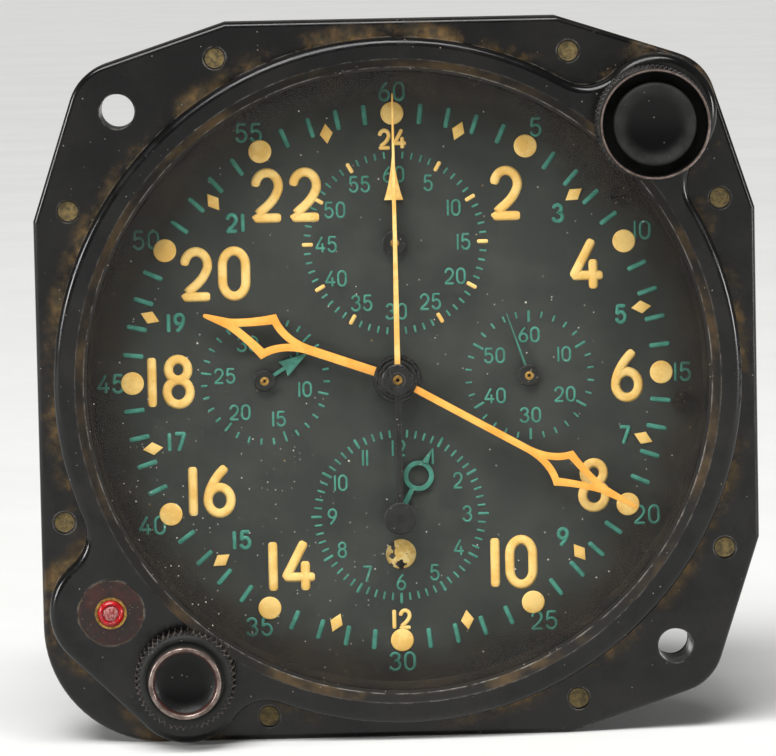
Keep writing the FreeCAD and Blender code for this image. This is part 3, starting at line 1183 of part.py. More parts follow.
def make_hands():
    """Three central hands and the hands of the small dials."""
    hour_level, minute_level = "dial_front + hour_hand_rise", "dial_front + minute_hand_rise"
    sweep_level = "dial_front + sweep_hand_rise"
    hand("hour_hand", CENTRE, "hour_reading", hour_level, "2.3", "hour_tube", [
        [("-0.5", "0"), ("0.5", "0"), ("0.5", "11.8"), ("2.7", "hour_hand_long - 8.0"),
         ("0.9", "hour_hand_long - 3.4"), ("0.15", "hour_hand_long"), ("-0.15", "hour_hand_long"),
         ("-0.9", "hour_hand_long - 3.4"), ("-2.7", "hour_hand_long - 8.0"), ("-0.5", "11.8")],
        [("0", "13.6"), ("1.6", "hour_hand_long - 8.0"), ("0", "hour_hand_long - 4.4"),
         ("-1.6", "hour_hand_long - 8.0")]])
    hand("minute_hand", CENTRE, "minute_reading", minute_level, "1.9", "cannon_tube", [
        [("-0.4", "0"), ("0.4", "0"), ("0.4", "18.0"), ("2.25", "minute_hand_long - 9.7"),
         ("0.8", "minute_hand_long - 5.0"), ("0.12", "minute_hand_long"), ("-0.12", "minute_hand_long"),
         ("-0.8", "minute_hand_long - 5.0"), ("-2.25", "minute_hand_long - 9.7"), ("-0.4", "18.0")],
        [("0", "19.6"), ("1.25", "minute_hand_long - 9.7"), ("0", "minute_hand_long - 5.6"),
         ("-1.25", "minute_hand_long - 9.7")]])
    hand("sweep_seconds_hand", CENTRE, "sweep_reading", sweep_level, "1.4", "centre_bore - fit_gap", [
        [("-0.33", "-sweep_tail"), ("0.33", "-sweep_tail"), ("0.33", "0"), ("0.08", "sweep_hand_long"),
         ("-0.08", "sweep_hand_long"), ("-0.33", "0")]])
    weight = DOC.getObject("sweep_seconds_hand")
    pad(weight, sweep_level, "hand_thick + 0.2", [("0", "-sweep_tail", "sweep_weight_radius")])
    small_level = "dial_front + small_hand_rise"
    hand("register_hand", REGISTER, "register_reading", small_level, "1.0", "arbor_radius", [
        [("-0.22", "-2.6"), ("0.22", "-2.6"), ("0.22", "5.4"), ("1.15", "4.8"),
         ("0.08", "register_hand_long"), ("-0.08", "register_hand_long"), ("-1.15", "4.8"),
         ("-0.22", "5.4")]])
    hand("seconds_hand", SECONDS, "seconds_reading", small_level, "0.95", "arbor_radius", [
        [("-0.2", "-2.4"), ("0.2", "-2.4"), ("0.08", "seconds_hand_long"),
         ("-0.08", "seconds_hand_long")]])
    hand("date_hand", DATE, "date_reading", small_level, "0.95", "arbor_radius", [
        [("-0.18", "0"), ("0.18", "0"), ("0.18", "2.9"), ("0.95", "2.5"), ("0.06", "date_hand_long"),
         ("-0.06", "date_hand_long"), ("-0.95", "2.5"), ("-0.18", "2.9")]])
    lower_level = "dial_front + elapsed_hour_rise"
    hand("elapsed_hour_hand", ELAPSED, "elapsed_hour_reading", lower_level, "1.3", "elapsed_tube", [
        blade("0.4", "3.6", "0.3"), ("0", "4.9", "1.73"), ("0", "4.9", "1.2")])
    pointer = DOC.getObject("elapsed_hour_hand")
    pad(pointer, lower_level, "hand_thick", [
        [("-0.45", "6.45"), ("0.45", "6.45"), ("0.06", "elapsed_hour_long"), ("-0.06", "elapsed_hour_long")]])
    upper_level = "dial_front + elapsed_minute_rise"
    hand("elapsed_minute_hand", ELAPSED, "elapsed_minute_reading", upper_level, "0.85", "arbor_radius", [
        [("-0.25", "-2.6"), ("0.25", "-2.6"), ("0.1", "elapsed_minute_long"),
         ("-0.1", "elapsed_minute_long")]])


def make_bushes():
    """Flanged bushes of the two knob stems and the date button's sleeve."""
    top = number("rim_top")
    outer, bore = number("bush_radius"), number("stem_radius") + number("fit_gap")
    flange_outer = number("bush_flange_radius")
    low = number("rear_flange_thick") + 5.6
    bushes = []
    for place in (PUSH, WINDER):
        x, z = number(place[0]), number(place[1])
        bush = rod(outer, low, top, x, z).fuse(rod(flange_outer, top, top + 0.4, x, z))
        bushes.append(bush.cut(rod(bore, low - 1, top + 2, x, z)))
    piece("stem_bushes", Part.makeCompound(bushes))
    sleeve = new_body("date_button_bush", BUTTON)
    outside = "button_radius + 0.3"
    turn(sleeve, [
        ("0.8 + fit_gap", "rim_top - 5.5"), (outside, "rim_top - 5.5"), (outside, "rim_top + 0.35"),
        ("button_radius + fit_gap", "rim_top + 0.35"), ("button_radius + fit_gap", "rim_top - 4.5"),
        ("0.8 + fit_gap", "rim_top - 4.5")])
    label = new_body("button_label_disc", BUTTON)
    pad(label, "rim_top - label_thick", "label_thick + 0.1", [
        ("0", "0", "label_radius"), ("0", "0", "button_radius + 0.3")])


def make_date_button():
    """Red button with its stem, and the spring under it."""
    button = new_body("date_button", BUTTON)
    cap = "rim_top - button_travel - 1.0"
    tip_height = "rear_flange_thick + 1.7 + lever_thick / 2 + 0.3"
    turn(button, [
        ("0", tip_height), ("0.4", tip_height), ("0.8", tip_height + " + 0.6"), ("0.8", cap),
        ("button_radius", cap), ("button_radius", "rim_top + button_proud - 0.7"),
        ("0.75 * button_radius", "rim_top + button_proud - 0.2"),
        ("0.3 * button_radius", "rim_top + button_proud"), ("0", "rim_top + button_proud")])
    spring = coil_spring(number("button_radius - 0.33"), 0.24, number("rim_top") - 4.45,
                         number(cap) - 0.05, 4)
    piece("date_button_spring", spring, BUTTON)


def make_push_knob():
    """Upper knob: cap with a dished front and beaded skirt, on its push stem."""
    knob = new_body("chronograph_knob", PUSH)
    foot = "rim_top + push_travel + 0.4"
    crown = foot + " + push_cap_tall"
    tip_height = "rear_flange_thick + 1.7 + lever_thick / 2 + 0.3"
    turn(knob, [
        ("0", tip_height), ("0.5", tip_height), ("stem_radius", tip_height + " + 0.6"),
        ("stem_radius", foot + " + 2.4"), ("4.4", foot + " + 2.4"), ("4.4", foot),
        ("push_cap_radius - 0.3", foot), ("push_cap_radius", foot + " + 0.5"),
        ("push_cap_radius", foot + " + 2.6"),
        ("push_cap_radius - 0.35", foot + " + 3.0"), ("push_cap_radius - 0.15", crown + " - 0.6"),
        ("push_cap_radius - 0.45", crown), ("push_cap_radius - 0.75", crown + " - 0.1"),
        ("push_dish_radius + 0.3", crown + " - 1.2"), ("push_dish_radius - 0.2", crown + " - 0.7"),
        ("0", crown + " - 1.0")])
    spring = coil_spring(2.6, number("spring_wire"), number("rim_top") + 0.45, number(foot) + 2.35, 4)
    piece("chronograph_spring", spring, PUSH)


def make_winding_knob():
    """Lower knob: toothed skirt, stepped collar with a dished front, on its square-ended stem."""
    foot = number("rim_top") + number("knob_gap") + 0.2
    skirt = foot + number("winder_skirt_tall")
    crown = skirt + number("winder_collar_tall")
    outer = number("winder_radius")
    teeth = ring_of_teeth(outer, outer - 0.42, count("winder_teeth"), 0.08, 0.42, 0.0, foot, skirt)
    collar = number("winder_collar_radius")
    stem = number("stem_radius")
    profile = [
        (0, foot), (outer - 0.5, foot), (outer - 0.5, skirt), (outer - 0.8, skirt + 0.3),
        (collar + 0.35, skirt + 0.3), (collar + 0.35, skirt - 0.2), (collar, skirt - 0.2),
        (collar, crown - 0.5), (collar - 0.3, crown),
        (collar - 0.75, crown), (collar - 1.0, crown - 0.9), (0, crown - 1.3)]
    wire = Part.makePolygon([V(radius, 0, height) for radius, height in profile + profile[:1]])
    turned = Part.Face(wire).revolve(V(), UP, 360)
    shaft = rod(stem, number("rear_flange_thick") + 5.2, foot + 0.5)
    square = Part.makeBox(1.4, 1.4, number("winder_pull") + 3.6,
                          V(-0.7, -0.7, number("rear_flange_thick") + 0.2))
    piece("winding_knob", fused(turned, teeth, shaft, square), WINDER)


make_front_bezel()
make_rear_case()
make_case_screws()
make_glass_stack()
make_dial()
make_movement_ring()
push_lever("chronograph_lever", PUSH)
push_lever("date_lever", BUTTON)
make_plates()
make_going_train()
make_winding()
make_motion_work()
make_chronograph()
make_calendar()
make_elapsed_time()
make_hands()
make_bushes()
make_date_button()
make_push_knob()
make_winding_knob()
DOC.recompute()

NOT_KEPT = ("RimBoss", "RimBody")
os.makedirs("parts", exist_ok=True)
problems = [item.Name for item in DOC.Objects if "Invalid" in item.State or "Error" in item.State]
kept = [item for item in DOC.Objects
        if item.TypeId in ("PartDesign::Body", "Part::Feature") and item.Name not in NOT_KEPT]
for item in kept:
    if item.Shape.isNull() or not item.Shape.isValid():
        problems.append(item.Label)
if problems:
    raise RuntimeError("not sound: " + ", ".join(problems))
for item in kept:
    item.Shape.exportStep("parts/" + item.Label + ".step")
print("%d sub-parts written" % len(kept))
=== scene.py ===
"""Looks of a 24-hour aircraft panel clock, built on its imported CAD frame.

Shapes are modelled in millimetres, x to the right, y up and z towards the viewer, with the dial's
axis at the origin, and are then stood up in the frame of the CAD, whose dial faces -Y.
"""

import json
import logging
import math
from dataclasses import dataclass, field
from enum import Enum
from typing import List, Mapping, Optional, Sequence, Tuple, Union

import bmesh
import bpy
from mathutils import Matrix, Vector


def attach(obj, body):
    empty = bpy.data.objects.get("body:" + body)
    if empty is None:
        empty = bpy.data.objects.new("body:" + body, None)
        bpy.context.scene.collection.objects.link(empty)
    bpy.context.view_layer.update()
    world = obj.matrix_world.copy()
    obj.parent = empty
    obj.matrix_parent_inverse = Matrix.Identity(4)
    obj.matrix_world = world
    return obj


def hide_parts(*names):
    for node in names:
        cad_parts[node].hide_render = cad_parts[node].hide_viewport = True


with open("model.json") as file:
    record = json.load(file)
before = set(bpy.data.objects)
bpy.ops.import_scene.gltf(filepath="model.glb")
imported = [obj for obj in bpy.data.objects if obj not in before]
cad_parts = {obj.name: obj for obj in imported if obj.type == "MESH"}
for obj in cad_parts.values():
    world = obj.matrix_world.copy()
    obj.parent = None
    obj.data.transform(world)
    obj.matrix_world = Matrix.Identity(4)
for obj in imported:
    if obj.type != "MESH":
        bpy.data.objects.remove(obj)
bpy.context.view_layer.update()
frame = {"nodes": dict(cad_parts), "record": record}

LOG = logging.getLogger("clock")
MM = 0.001
STAND = Matrix.Scale(MM, 4) @ Matrix.Rotation(math.pi / 2, 4, "X")
DIAL = 4.9
RIM_FOOT = 39.3
PHOTO_WIDTH = 776
SENSOR_WIDTH = 36.0
# Sockets of Blender's Mix node: its factor, its two colours and its mixed colour.
FACTOR, BELOW, ABOVE, MIXED = 0, 6, 7, 2
# A stroke's end, from its tip inwards: step along and radius, both in half widths.
STROKE_END = ((-0.42, 0.55), (-0.05, 0.92), (0.5, 1.0))

Point = Tuple[float, float]
Key = Union[str, int]
Tree = bpy.types.NodeTree
Socket = bpy.types.NodeSocket
Shape = bmesh.types.BMesh


class Slot(Enum):
    """Material slots of the record, named on the seats of new pieces."""

    DIAL = "dial"
    HAND_YELLOW = "hand_yellow"
    HAND_TEAL = "hand_teal"
    KNOB_BLACK = "knob_black"
    BUTTON_RED = "button_red"


class Rider(Enum):
    """Bodies of the frame that new pieces ride on."""

    CASE = "case"
    HOUR = "hour"
    CENTRE = "centre"
    SWEEP = "sweep"
    REGISTER = "register"
    SECONDS = "fourth"
    DATE = "date"
    ELAPSED_MINUTE = "elapsed_minute"
    ELAPSED_HOUR = "elapsed_hour"
    CHRONOGRAPH_KNOB = "chronograph_knob"
    WINDING_KNOB = "winding_knob"
    DATE_BUTTON = "date_button"


# Nodes, colours and masks

def linear(code: str) -> Tuple[float, float, float, float]:
    """Linear colour of an sRGB hex value.

    Args:
        code: six hex digits after a hash sign.

    Returns:
        Red, green, blue and an alpha of one.
    """
    parts = [int(code[place:place + 2], 16) / 255 for place in (1, 3, 5)]
    lights = [part / 12.92 if part <= 0.04045 else ((part + 0.055) / 1.055) ** 2.4 for part in parts]
    return (*lights, 1.0)


def add_node(tree: Tree, kind: str, settings: Optional[Mapping[Key, object]] = None,
             links: Optional[Mapping[Key, Socket]] = None) -> bpy.types.Node:
    """Add a node with its settings and links.

    Args:
        tree: node tree of the material.
        kind: Blender's name for the kind of node.
        settings: lower-case names set properties, other names and numbers set input sockets.
        links: input sockets and what feeds them.

    Returns:
        The new node.
    """
    node = tree.nodes.new(kind)
    for name, value in (settings or {}).items():
        if isinstance(name, str) and name.islower():
            setattr(node, name, value)
        else:
            node.inputs[name].default_value = value
    for name, source in (links or {}).items():
        tree.links.new(source, node.inputs[name])
    return node


def millimetres(tree: Tree, stretch: Sequence[float] = (1.0, 1.0, 1.0)) -> Socket:
    """Object coordinates counted in millimetres; a stretch of zero flattens an axis."""
    source = add_node(tree, "ShaderNodeTexCoord").outputs["Object"]
    scale = [1000 * factor for factor in stretch]
    return add_node(tree, "ShaderNodeMapping", {"Scale": scale}, {"Vector": source}).outputs[0]


def away_from(tree: Tree, across: float = 0.0, up: float = 0.0) -> Socket:
    """Distance, seen from the front, to a spot across and up from the dial's axis, in millimetres."""
    flat = millimetres(tree, (1.0, 0.0, 1.0))
    return add_node(tree, "ShaderNodeVectorMath", {"operation": "DISTANCE", 1: (across, 0.0, up)},
                    {0: flat}).outputs["Value"]


def ramped(tree: Tree, source: Socket, start: float, end: float, low: float = 0.0,
           high: float = 1.0) -> Socket:
    """Smooth step of a value, from low at the start to high at the end."""
    return add_node(tree, "ShaderNodeMapRange", {
        "interpolation_type": "SMOOTHSTEP", "From Min": start, "From Max": end,
        "To Min": low, "To Max": high}, {"Value": source}).outputs[0]


def overlap(tree: Tree, mask: Socket, *factors: Union[Socket, float]) -> Socket:
    """Product of a mask with other masks and plain numbers."""
    for factor in factors:
        settings, links = {"operation": "MULTIPLY"}, {0: mask}
        (settings if isinstance(factor, float) else links)[1] = factor
        mask = add_node(tree, "ShaderNodeMath", settings, links).outputs[0]
    return mask


def layered(tree: Tree, ground: Union[str, Socket], *coats: Tuple[Socket, Union[str, Socket]]) -> Socket:
    """Colour of a ground with coats over it.

    Args:
        tree: node tree of the material.
        ground: hex value or socket of the lowest colour.
        coats: mask and colour of each coat, from the lowest up.

    Returns:
        A colour socket.
    """
    for mask, coat in coats:
        settings, links = {"data_type": "RGBA"}, {FACTOR: mask}
        for socket, colour in ((BELOW, ground), (ABOVE, coat)):
            if isinstance(colour, str):
                settings[socket] = linear(colour)
            else:
                links[socket] = colour
        ground = add_node(tree, "ShaderNodeMix", settings, links).outputs[MIXED]
    return ground


def blotches(tree: Tree, place: Socket, size: float, start: float, end: float, detail: float = 4.0) -> Socket:
    """Uneven patches.

    Args:
        tree: node tree of the material.
        place: coordinates in millimetres.
        size: size of a patch in millimetres.
        start: noise value where the patches begin.
        end: noise value where they are full.
        detail: octaves of finer edges.

    Returns:
        A mask from zero to one.
    """
    noise = add_node(tree, "ShaderNodeTexNoise", {"Scale": 1 / size, "Detail": detail, "Roughness": 0.62},
                     {"Vector": place})
    return ramped(tree, noise.outputs["Fac"], start, end)


def specks(tree: Tree, place: Socket, spacing: float, radius: float, share: float) -> Socket:
    """Round grains of dust strewn at random.

    Args:
        tree: node tree of the material.
        place: coordinates in millimetres.
        spacing: mean distance between possible grains, in millimetres.
        radius: radius of a grain, in millimetres.
        share: share of the possible grains that are there.

    Returns:
        A mask from zero to one.
    """
    cells = add_node(tree, "ShaderNodeTexVoronoi", {"Scale": 1 / spacing}, {"Vector": place})
    grain = ramped(tree, cells.outputs["Distance"], radius / spacing, 0.6 * radius / spacing)
    lot = add_node(tree, "ShaderNodeSeparateColor", links={"Color": cells.outputs["Color"]}).outputs[0]
    return overlap(tree, grain, ramped(tree, lot, 1 - share, 1 - share * 0.9))


def worn_edges(tree: Tree, radius: float, start: float, end: float) -> Socket:
    """Mask of sharp edges, where hands and tools rub and where some finishes paint highlights.

    Args:
        tree: node tree of the material.
        radius: reach of the mask from an edge, in millimetres.
        start: departure from flat where the mask begins.
        end: departure from flat where it is full.

    Returns:
        A mask from zero to one.
    """
    rounded = add_node(tree, "ShaderNodeBevel", {"samples": 4, "Radius": radius * MM}).outputs[0]
    normal = add_node(tree, "ShaderNodeNewGeometry").outputs["Normal"]
    dot = add_node(tree, "ShaderNodeVectorMath", {"operation": "DOT_PRODUCT"}, {0: rounded, 1: normal})
    return ramped(tree, dot.outputs["Value"], 1 - start, 1 - end)


def edge_dirt(tree: Tree, place: Socket, ragged: float, start: float, width: float, most: float) -> Socket:
    """Dirt and painted shade of the rim, thickening towards the edge of a round surface.

    Args:
        tree: node tree of the material.
        place: coordinates in millimetres.
        ragged: unevenness of its inner line, in millimetres.
        start: radius where it begins.
        width: width over which it thickens.
        most: cover where it is thickest.

    Returns:
        A mask from zero to the thickest cover.
    """
    uneven = add_node(tree, "ShaderNodeMath", {"operation": "MULTIPLY_ADD", 1: ragged},
                      {0: blotches(tree, place, 6.0, 0.3, 0.7, 3.0), 2: away_from(tree)})
    return ramped(tree, uneven.outputs[0], start, start + width, 0.0, most)


def grained(tree: Tree, shader: bpy.types.Node, place: Socket, size: float, strength: float,
            relief: float) -> None:
    """Give a surface a fine grain.

    Args:
        tree: node tree of the material.
        shader: the surface.
        place: coordinates in millimetres.
        size: size of the grain in millimetres.
        strength: share of its height that shows.
        relief: its height in millimetres.
    """
    fine = add_node(tree, "ShaderNodeTexNoise", {"Scale": 1 / size, "Detail": 2.0}, {"Vector": place})
    bump = add_node(tree, "ShaderNodeBump", {"Strength": strength, "Distance": relief * MM},
                    {"Height": fine.outputs["Fac"]})
    tree.links.new(bump.outputs[0], shader.inputs["Normal"])


# Finishes

@dataclass(frozen=True)
class Finish:
    """A named material; each kind of finish adds its own nodes.

    Args:
        name: the real material and how its surface was made.
    """

    name: str

    def material(self) -> bpy.types.Material:
        """The Blender material, made on first use."""
        made = bpy.data.materials.get(self.name)
        if made is None:
            made = bpy.data.materials.new(self.name)
            made.use_nodes = True
            tree = made.node_tree
            tree.nodes.clear()
            shader = add_node(tree, "ShaderNodeBsdfPrincipled")
            add_node(tree, "ShaderNodeOutputMaterial", links={"Surface": shader.outputs[0]})
            self.paint(tree, shader)
        return made

    def paint(self, tree: Tree, shader: bpy.types.Node) -> None:
        """Add the finish's own nodes to the shader."""
        raise NotImplementedError


@dataclass(frozen=True)
class AgedSurface(Finish):
    """A surface of two mingled tones with grain, dust and an edge colour, for rubbed edges and, on the
    collets, painted edge highlights.

    Args:
        tone: main colour.
        patch_tone: colour of the patches.
        patch: size of a patch in millimetres.
        rough: roughness of the clean and of the patched surface.
        metallic: share of bare metal.
        grain: size of the fine grain in millimetres.
        relief: height of the grain in millimetres.
        brushed: stretch of the grain along x, y and z, for brushed or turned metal.
        dust_tone: colour of the dust grains.
        dust: share of dust grains.
        dust_size: radius of a grain of dust in millimetres.
        wear_tone: colour of rubbed edges, and on the collets of painted highlights along the rims.
        wear: reach of that edge colour in millimetres, zero for none.
        gloss: strength of the clear reflection, 0.5 for common plastic and paint.
    """

    tone: str = "#808080"
    patch_tone: str = "#606060"
    patch: float = 3.0
    rough: Tuple[float, float] = (0.4, 0.6)
    metallic: float = 0.0
    grain: float = 0.2
    relief: float = 0.01
    brushed: Tuple[float, float, float] = (1.0, 1.0, 1.0)
    dust_tone: str = "#b9ae97"
    dust: float = 0.0
    dust_size: float = 0.07
    wear_tone: str = "#8d8378"
    wear: float = 0.0
    gloss: float = 0.5

    def paint(self, tree: Tree, shader: bpy.types.Node) -> None:
        """Add tones, dust, edge colour for wear and painted highlights, roughness and relief."""
        place = millimetres(tree)
        patches = blotches(tree, place, self.patch, 0.38, 0.62)
        coats = [(patches, self.patch_tone)]
        if self.dust > 0:
            coats.append((specks(tree, place, 6 * self.dust_size, self.dust_size, self.dust), self.dust_tone))
        if self.wear > 0:
            broken = blotches(tree, place, 0.8, 0.35, 0.6)
            coats.append((overlap(tree, worn_edges(tree, self.wear, 0.02, 0.25), broken), self.wear_tone))
        tree.links.new(layered(tree, self.tone, *coats), shader.inputs["Base Color"])
        tree.links.new(ramped(tree, patches, 0.0, 1.0, *self.rough), shader.inputs["Roughness"])
        shader.inputs["Metallic"].default_value = self.metallic
        shader.inputs["Specular IOR Level"].default_value = self.gloss
        grained(tree, shader, millimetres(tree, self.brushed), self.grain, 0.8, self.relief)


@dataclass(frozen=True)
class PhenolicMoulding(Finish):
    """Glossy black phenolic of the bezel, with tan grime along the rim's foot and rubbed edges.

    Args:
        rim: radius of the rim's foot in millimetres.
        lobes: centres and radii of the lobes round knobs and button.
        grime: reach of the grime from the foot in millimetres.
    """

    rim: float = RIM_FOOT
    lobes: Tuple[Tuple[float, float, float], ...] = (
        (30.1, 30.1, 6.75), (-25.0, -34.3, 6.7), (-33.4, -25.7, 7.0))
    grime: float = 2.3

    def foot_distance(self, tree: Tree) -> Socket:
        """Distance outside the rim and its lobes, in millimetres."""
        nearest: Optional[Socket] = None
        for across, up, radius in ((0.0, 0.0, self.rim),) + self.lobes:
            away = add_node(tree, "ShaderNodeMath", {"operation": "SUBTRACT", 1: radius},
                            {0: away_from(tree, across, up)}).outputs[0]
            if nearest is not None:
                away = add_node(tree, "ShaderNodeMath", {"operation": "SMOOTH_MIN", 2: 4.0},
                                {0: nearest, 1: away}).outputs[0]
            nearest = away
        return nearest

    def paint(self, tree: Tree, shader: bpy.types.Node) -> None:
        """Add black plastic, grime, brown bevel, dust and rubbed edges."""
        place = millimetres(tree)
        depth = add_node(tree, "ShaderNodeSeparateXYZ", links={"Vector": place}).outputs["Y"]
        level = overlap(tree, depth, -1.0)
        normal = add_node(tree, "ShaderNodeNewGeometry").outputs["Normal"]
        facing = add_node(tree, "ShaderNodeSeparateXYZ", links={"Vector": normal}).outputs["Y"]
        near = ramped(tree, self.foot_distance(tree), self.grime, 0.1)
        low = ramped(tree, level, 8.9, 8.2)
        grime = overlap(tree, near, low, blotches(tree, place, 5.5, 0.42, 0.66, 6.0), 0.85)
        soil = layered(tree, "#4b3f2a", (blotches(tree, place, 1.2, 0.4, 0.7), "#806338"))
        recess = overlap(tree, ramped(tree, level, 7.8, 7.6), ramped(tree, facing, -0.3, -0.8))
        bevel = overlap(tree, ramped(tree, away_from(tree), 37.0, 36.7), ramped(tree, level, 10.2, 10.5))
        stain = layered(tree, "#171410", (blotches(tree, place, 7.0, 0.44, 0.7, 5.0), "#4a3a23"))
        dust = overlap(tree, specks(tree, place, 0.8, 0.1, 0.18), 0.55)
        rubbed = overlap(tree, worn_edges(tree, 0.35, 0.03, 0.3), blotches(tree, place, 1.6, 0.4, 0.66))
        colour = layered(tree, "#090909", (blotches(tree, place, 9.0, 0.4, 0.62), "#131211"), (grime, soil),
                         (recess, "#4f422b"), (bevel, stain), (dust, "#9a9384"), (rubbed, "#8a847c"))
        tree.links.new(colour, shader.inputs["Base Color"])
        shader.inputs["Specular IOR Level"].default_value = 0.36
        dull = add_node(tree, "ShaderNodeMath", {"operation": "MAXIMUM"}, {0: grime, 1: bevel}).outputs[0]
        clean = ramped(tree, blotches(tree, place, 4.0, 0.35, 0.7), 0.0, 1.0, 0.16, 0.3)
        rough = add_node(tree, "ShaderNodeMix", {"data_type": "FLOAT", "B": 0.8}, {FACTOR: dull, "A": clean})
        tree.links.new(rough.outputs[0], shader.inputs["Roughness"])
        fine = add_node(tree, "ShaderNodeTexNoise", {"Scale": 1 / 0.35, "Detail": 3.0}, {"Vector": place})
        rise = add_node(tree, "ShaderNodeMath", {"operation": "MULTIPLY_ADD"}, {
            0: fine.outputs["Fac"], 1: ramped(tree, dull, 0.0, 1.0, 0.12, 1.0), 2: grime})
        bump = add_node(tree, "ShaderNodeBump", {"Strength": 0.7, "Distance": 0.03 * MM},
                        {"Height": rise.outputs[0]})
        tree.links.new(bump.outputs[0], shader.inputs["Normal"])


@dataclass(frozen=True)
class DialLacquer(Finish):
    """Matt charcoal lacquer of the dial, dusty near its edge, where brown dirt and painted shade of the rim
    darken it.

    Args:
        edge: radius where the dirt and painted shade along the edge begin, in millimetres.
        dirt_tone: colour of that dirt and painted shade.
        grains: spacing, radius, share and colour of each kind of dust, in millimetres.
    """

    edge: float = 30.5
    dirt_tone: str = "#2b241a"
    grains: Tuple[Tuple[float, float, float, str], ...] = (
        (0.95, 0.11, 0.12, "#8b8675"), (2.6, 0.18, 0.14, "#6d5a38"), (1.9, 0.13, 0.12, "#cfc9b8"))

    def paint(self, tree: Tree, shader: bpy.types.Node) -> None:
        """Add lacquer, smudges, edge dirt with painted shade of the rim, and grains of dust."""
        place = millimetres(tree)
        smudge = blotches(tree, place, 7.0, 0.38, 0.66, 5.0)
        # The edge darkens with brown dirt and with painted shade that the rim casts.
        coats = [(smudge, "#383a35"), (edge_dirt(tree, place, 3.0, self.edge, 7.5, 0.85), self.dirt_tone)]
        coats += [(specks(tree, place, *grain), tone) for *grain, tone in self.grains]
        tree.links.new(layered(tree, "#2c2f2b", *coats), shader.inputs["Base Color"])
        tree.links.new(ramped(tree, smudge, 0.0, 1.0, 0.6, 0.72), shader.inputs["Roughness"])
        shader.inputs["Specular IOR Level"].default_value = 0.35
        grained(tree, shader, place, 0.3, 0.3, 0.006)


@dataclass(frozen=True)
class DustyCrystal(Finish):
    """Polished glass, clear in the middle, with strewn dust and an edge darkened by dirt and painted shade of
    the rim.

    Args:
        edge: radius where the dirt and painted shade begin, in millimetres.
        haze: opacity of the clean glass.
        corner: where the dust lies thickest, across and up from the axis.
    """

    edge: float = 31.0
    haze: float = 0.004
    corner: Point = (-24.0, -24.0)

    def paint(self, tree: Tree, shader: bpy.types.Node) -> None:
        """Add dust grains, edge dirt with painted shade of the rim, and the matching opacity."""
        place = millimetres(tree)
        near = ramped(tree, away_from(tree, *self.corner), 30.0, 6.0)
        clumped = overlap(tree, specks(tree, place, 0.75, 0.1, 0.3), near)
        either = add_node(tree, "ShaderNodeMath", {"operation": "MAXIMUM"},
                          {0: clumped, 1: specks(tree, place, 1.5, 0.1, 0.22)}).outputs[0]
        dust = overlap(tree, either, 0.75)
        # The dark brown edge colour stands for dirt and for painted shade of the rim over the dial.
        soil = layered(tree, "#120f0b", (blotches(tree, place, 5.0, 0.4, 0.7), "#2c2216"))
        colour = layered(tree, soil, (ramped(tree, dust, 0.0, 0.2), "#d9d4c6"))
        tree.links.new(colour, shader.inputs["Base Color"])
        rim_dirt_and_shade = edge_dirt(tree, place, 2.0, self.edge, 7.0, 0.45)
        veil = add_node(tree, "ShaderNodeMath", {"operation": "MAXIMUM", 1: self.haze}, {0: rim_dirt_and_shade}).outputs[0]
        alpha = add_node(tree, "ShaderNodeMath", {"operation": "MAXIMUM"}, {0: veil, 1: dust}).outputs[0]
        tree.links.new(alpha, shader.inputs["Alpha"])
        tree.links.new(ramped(tree, alpha, 0.0, 0.3, 0.06, 0.6), shader.inputs["Roughness"])


@dataclass(frozen=True)
class StatusPaint(Finish):
    """Disc behind the round window: flaking pale luminous paint on one sector, black elsewhere.

    Args:
        across: centre of the disc from the axis in x, in millimetres.
        up: centre of the disc from the axis in z, in millimetres.
    """

    across: float = 0.05
    up: float = -24.2

    def paint(self, tree: Tree, shader: bpy.types.Node) -> None:
        """Add the painted sector with its chips."""
        place = millimetres(tree)
        centred = add_node(tree, "ShaderNodeVectorMath", {
            "operation": "SUBTRACT", 1: (self.across, 0.0, self.up)}, {0: place}).outputs[0]
        axes = add_node(tree, "ShaderNodeSeparateXYZ", links={"Vector": centred})
        angle = add_node(tree, "ShaderNodeMath", {"operation": "ARCTAN2"},
                         {0: axes.outputs["X"], 1: axes.outputs["Z"]}).outputs[0]
        spread = add_node(tree, "ShaderNodeMath", {"operation": "ABSOLUTE"}, {0: angle}).outputs[0]
        flakes = add_node(tree, "ShaderNodeTexVoronoi", {"distance": "MANHATTAN", "Scale": 1 / 0.8},
                          {"Vector": place})
        lot = add_node(tree, "ShaderNodeSeparateColor", links={"Color": flakes.outputs["Color"]}).outputs[1]
        leaning = add_node(tree, "ShaderNodeMath", {"operation": "MULTIPLY_ADD", 1: 0.24},
                           {0: axes.outputs["X"], 2: lot}).outputs[0]
        kept = overlap(tree, ramped(tree, leaning, 0.2, 0.22), ramped(tree, spread, 0.95, 0.9))
        pale = layered(tree, "#e3bb62", (blotches(tree, place, 0.7, 0.4, 0.6), "#f3d893"))
        colour = layered(tree, "#1d1c1a", (blotches(tree, place, 0.9, 0.45, 0.7), "#4a463d"), (kept, pale))
        tree.links.new(colour, shader.inputs["Base Color"])
        tree.links.new(ramped(tree, kept, 0.0, 1.0, 0.5, 0.75), shader.inputs["Roughness"])
        bump = add_node(tree, "ShaderNodeBump", {"Strength": 0.8, "Distance": 0.04 * MM}, {"Height": kept})
        tree.links.new(bump.outputs[0], shader.inputs["Normal"])


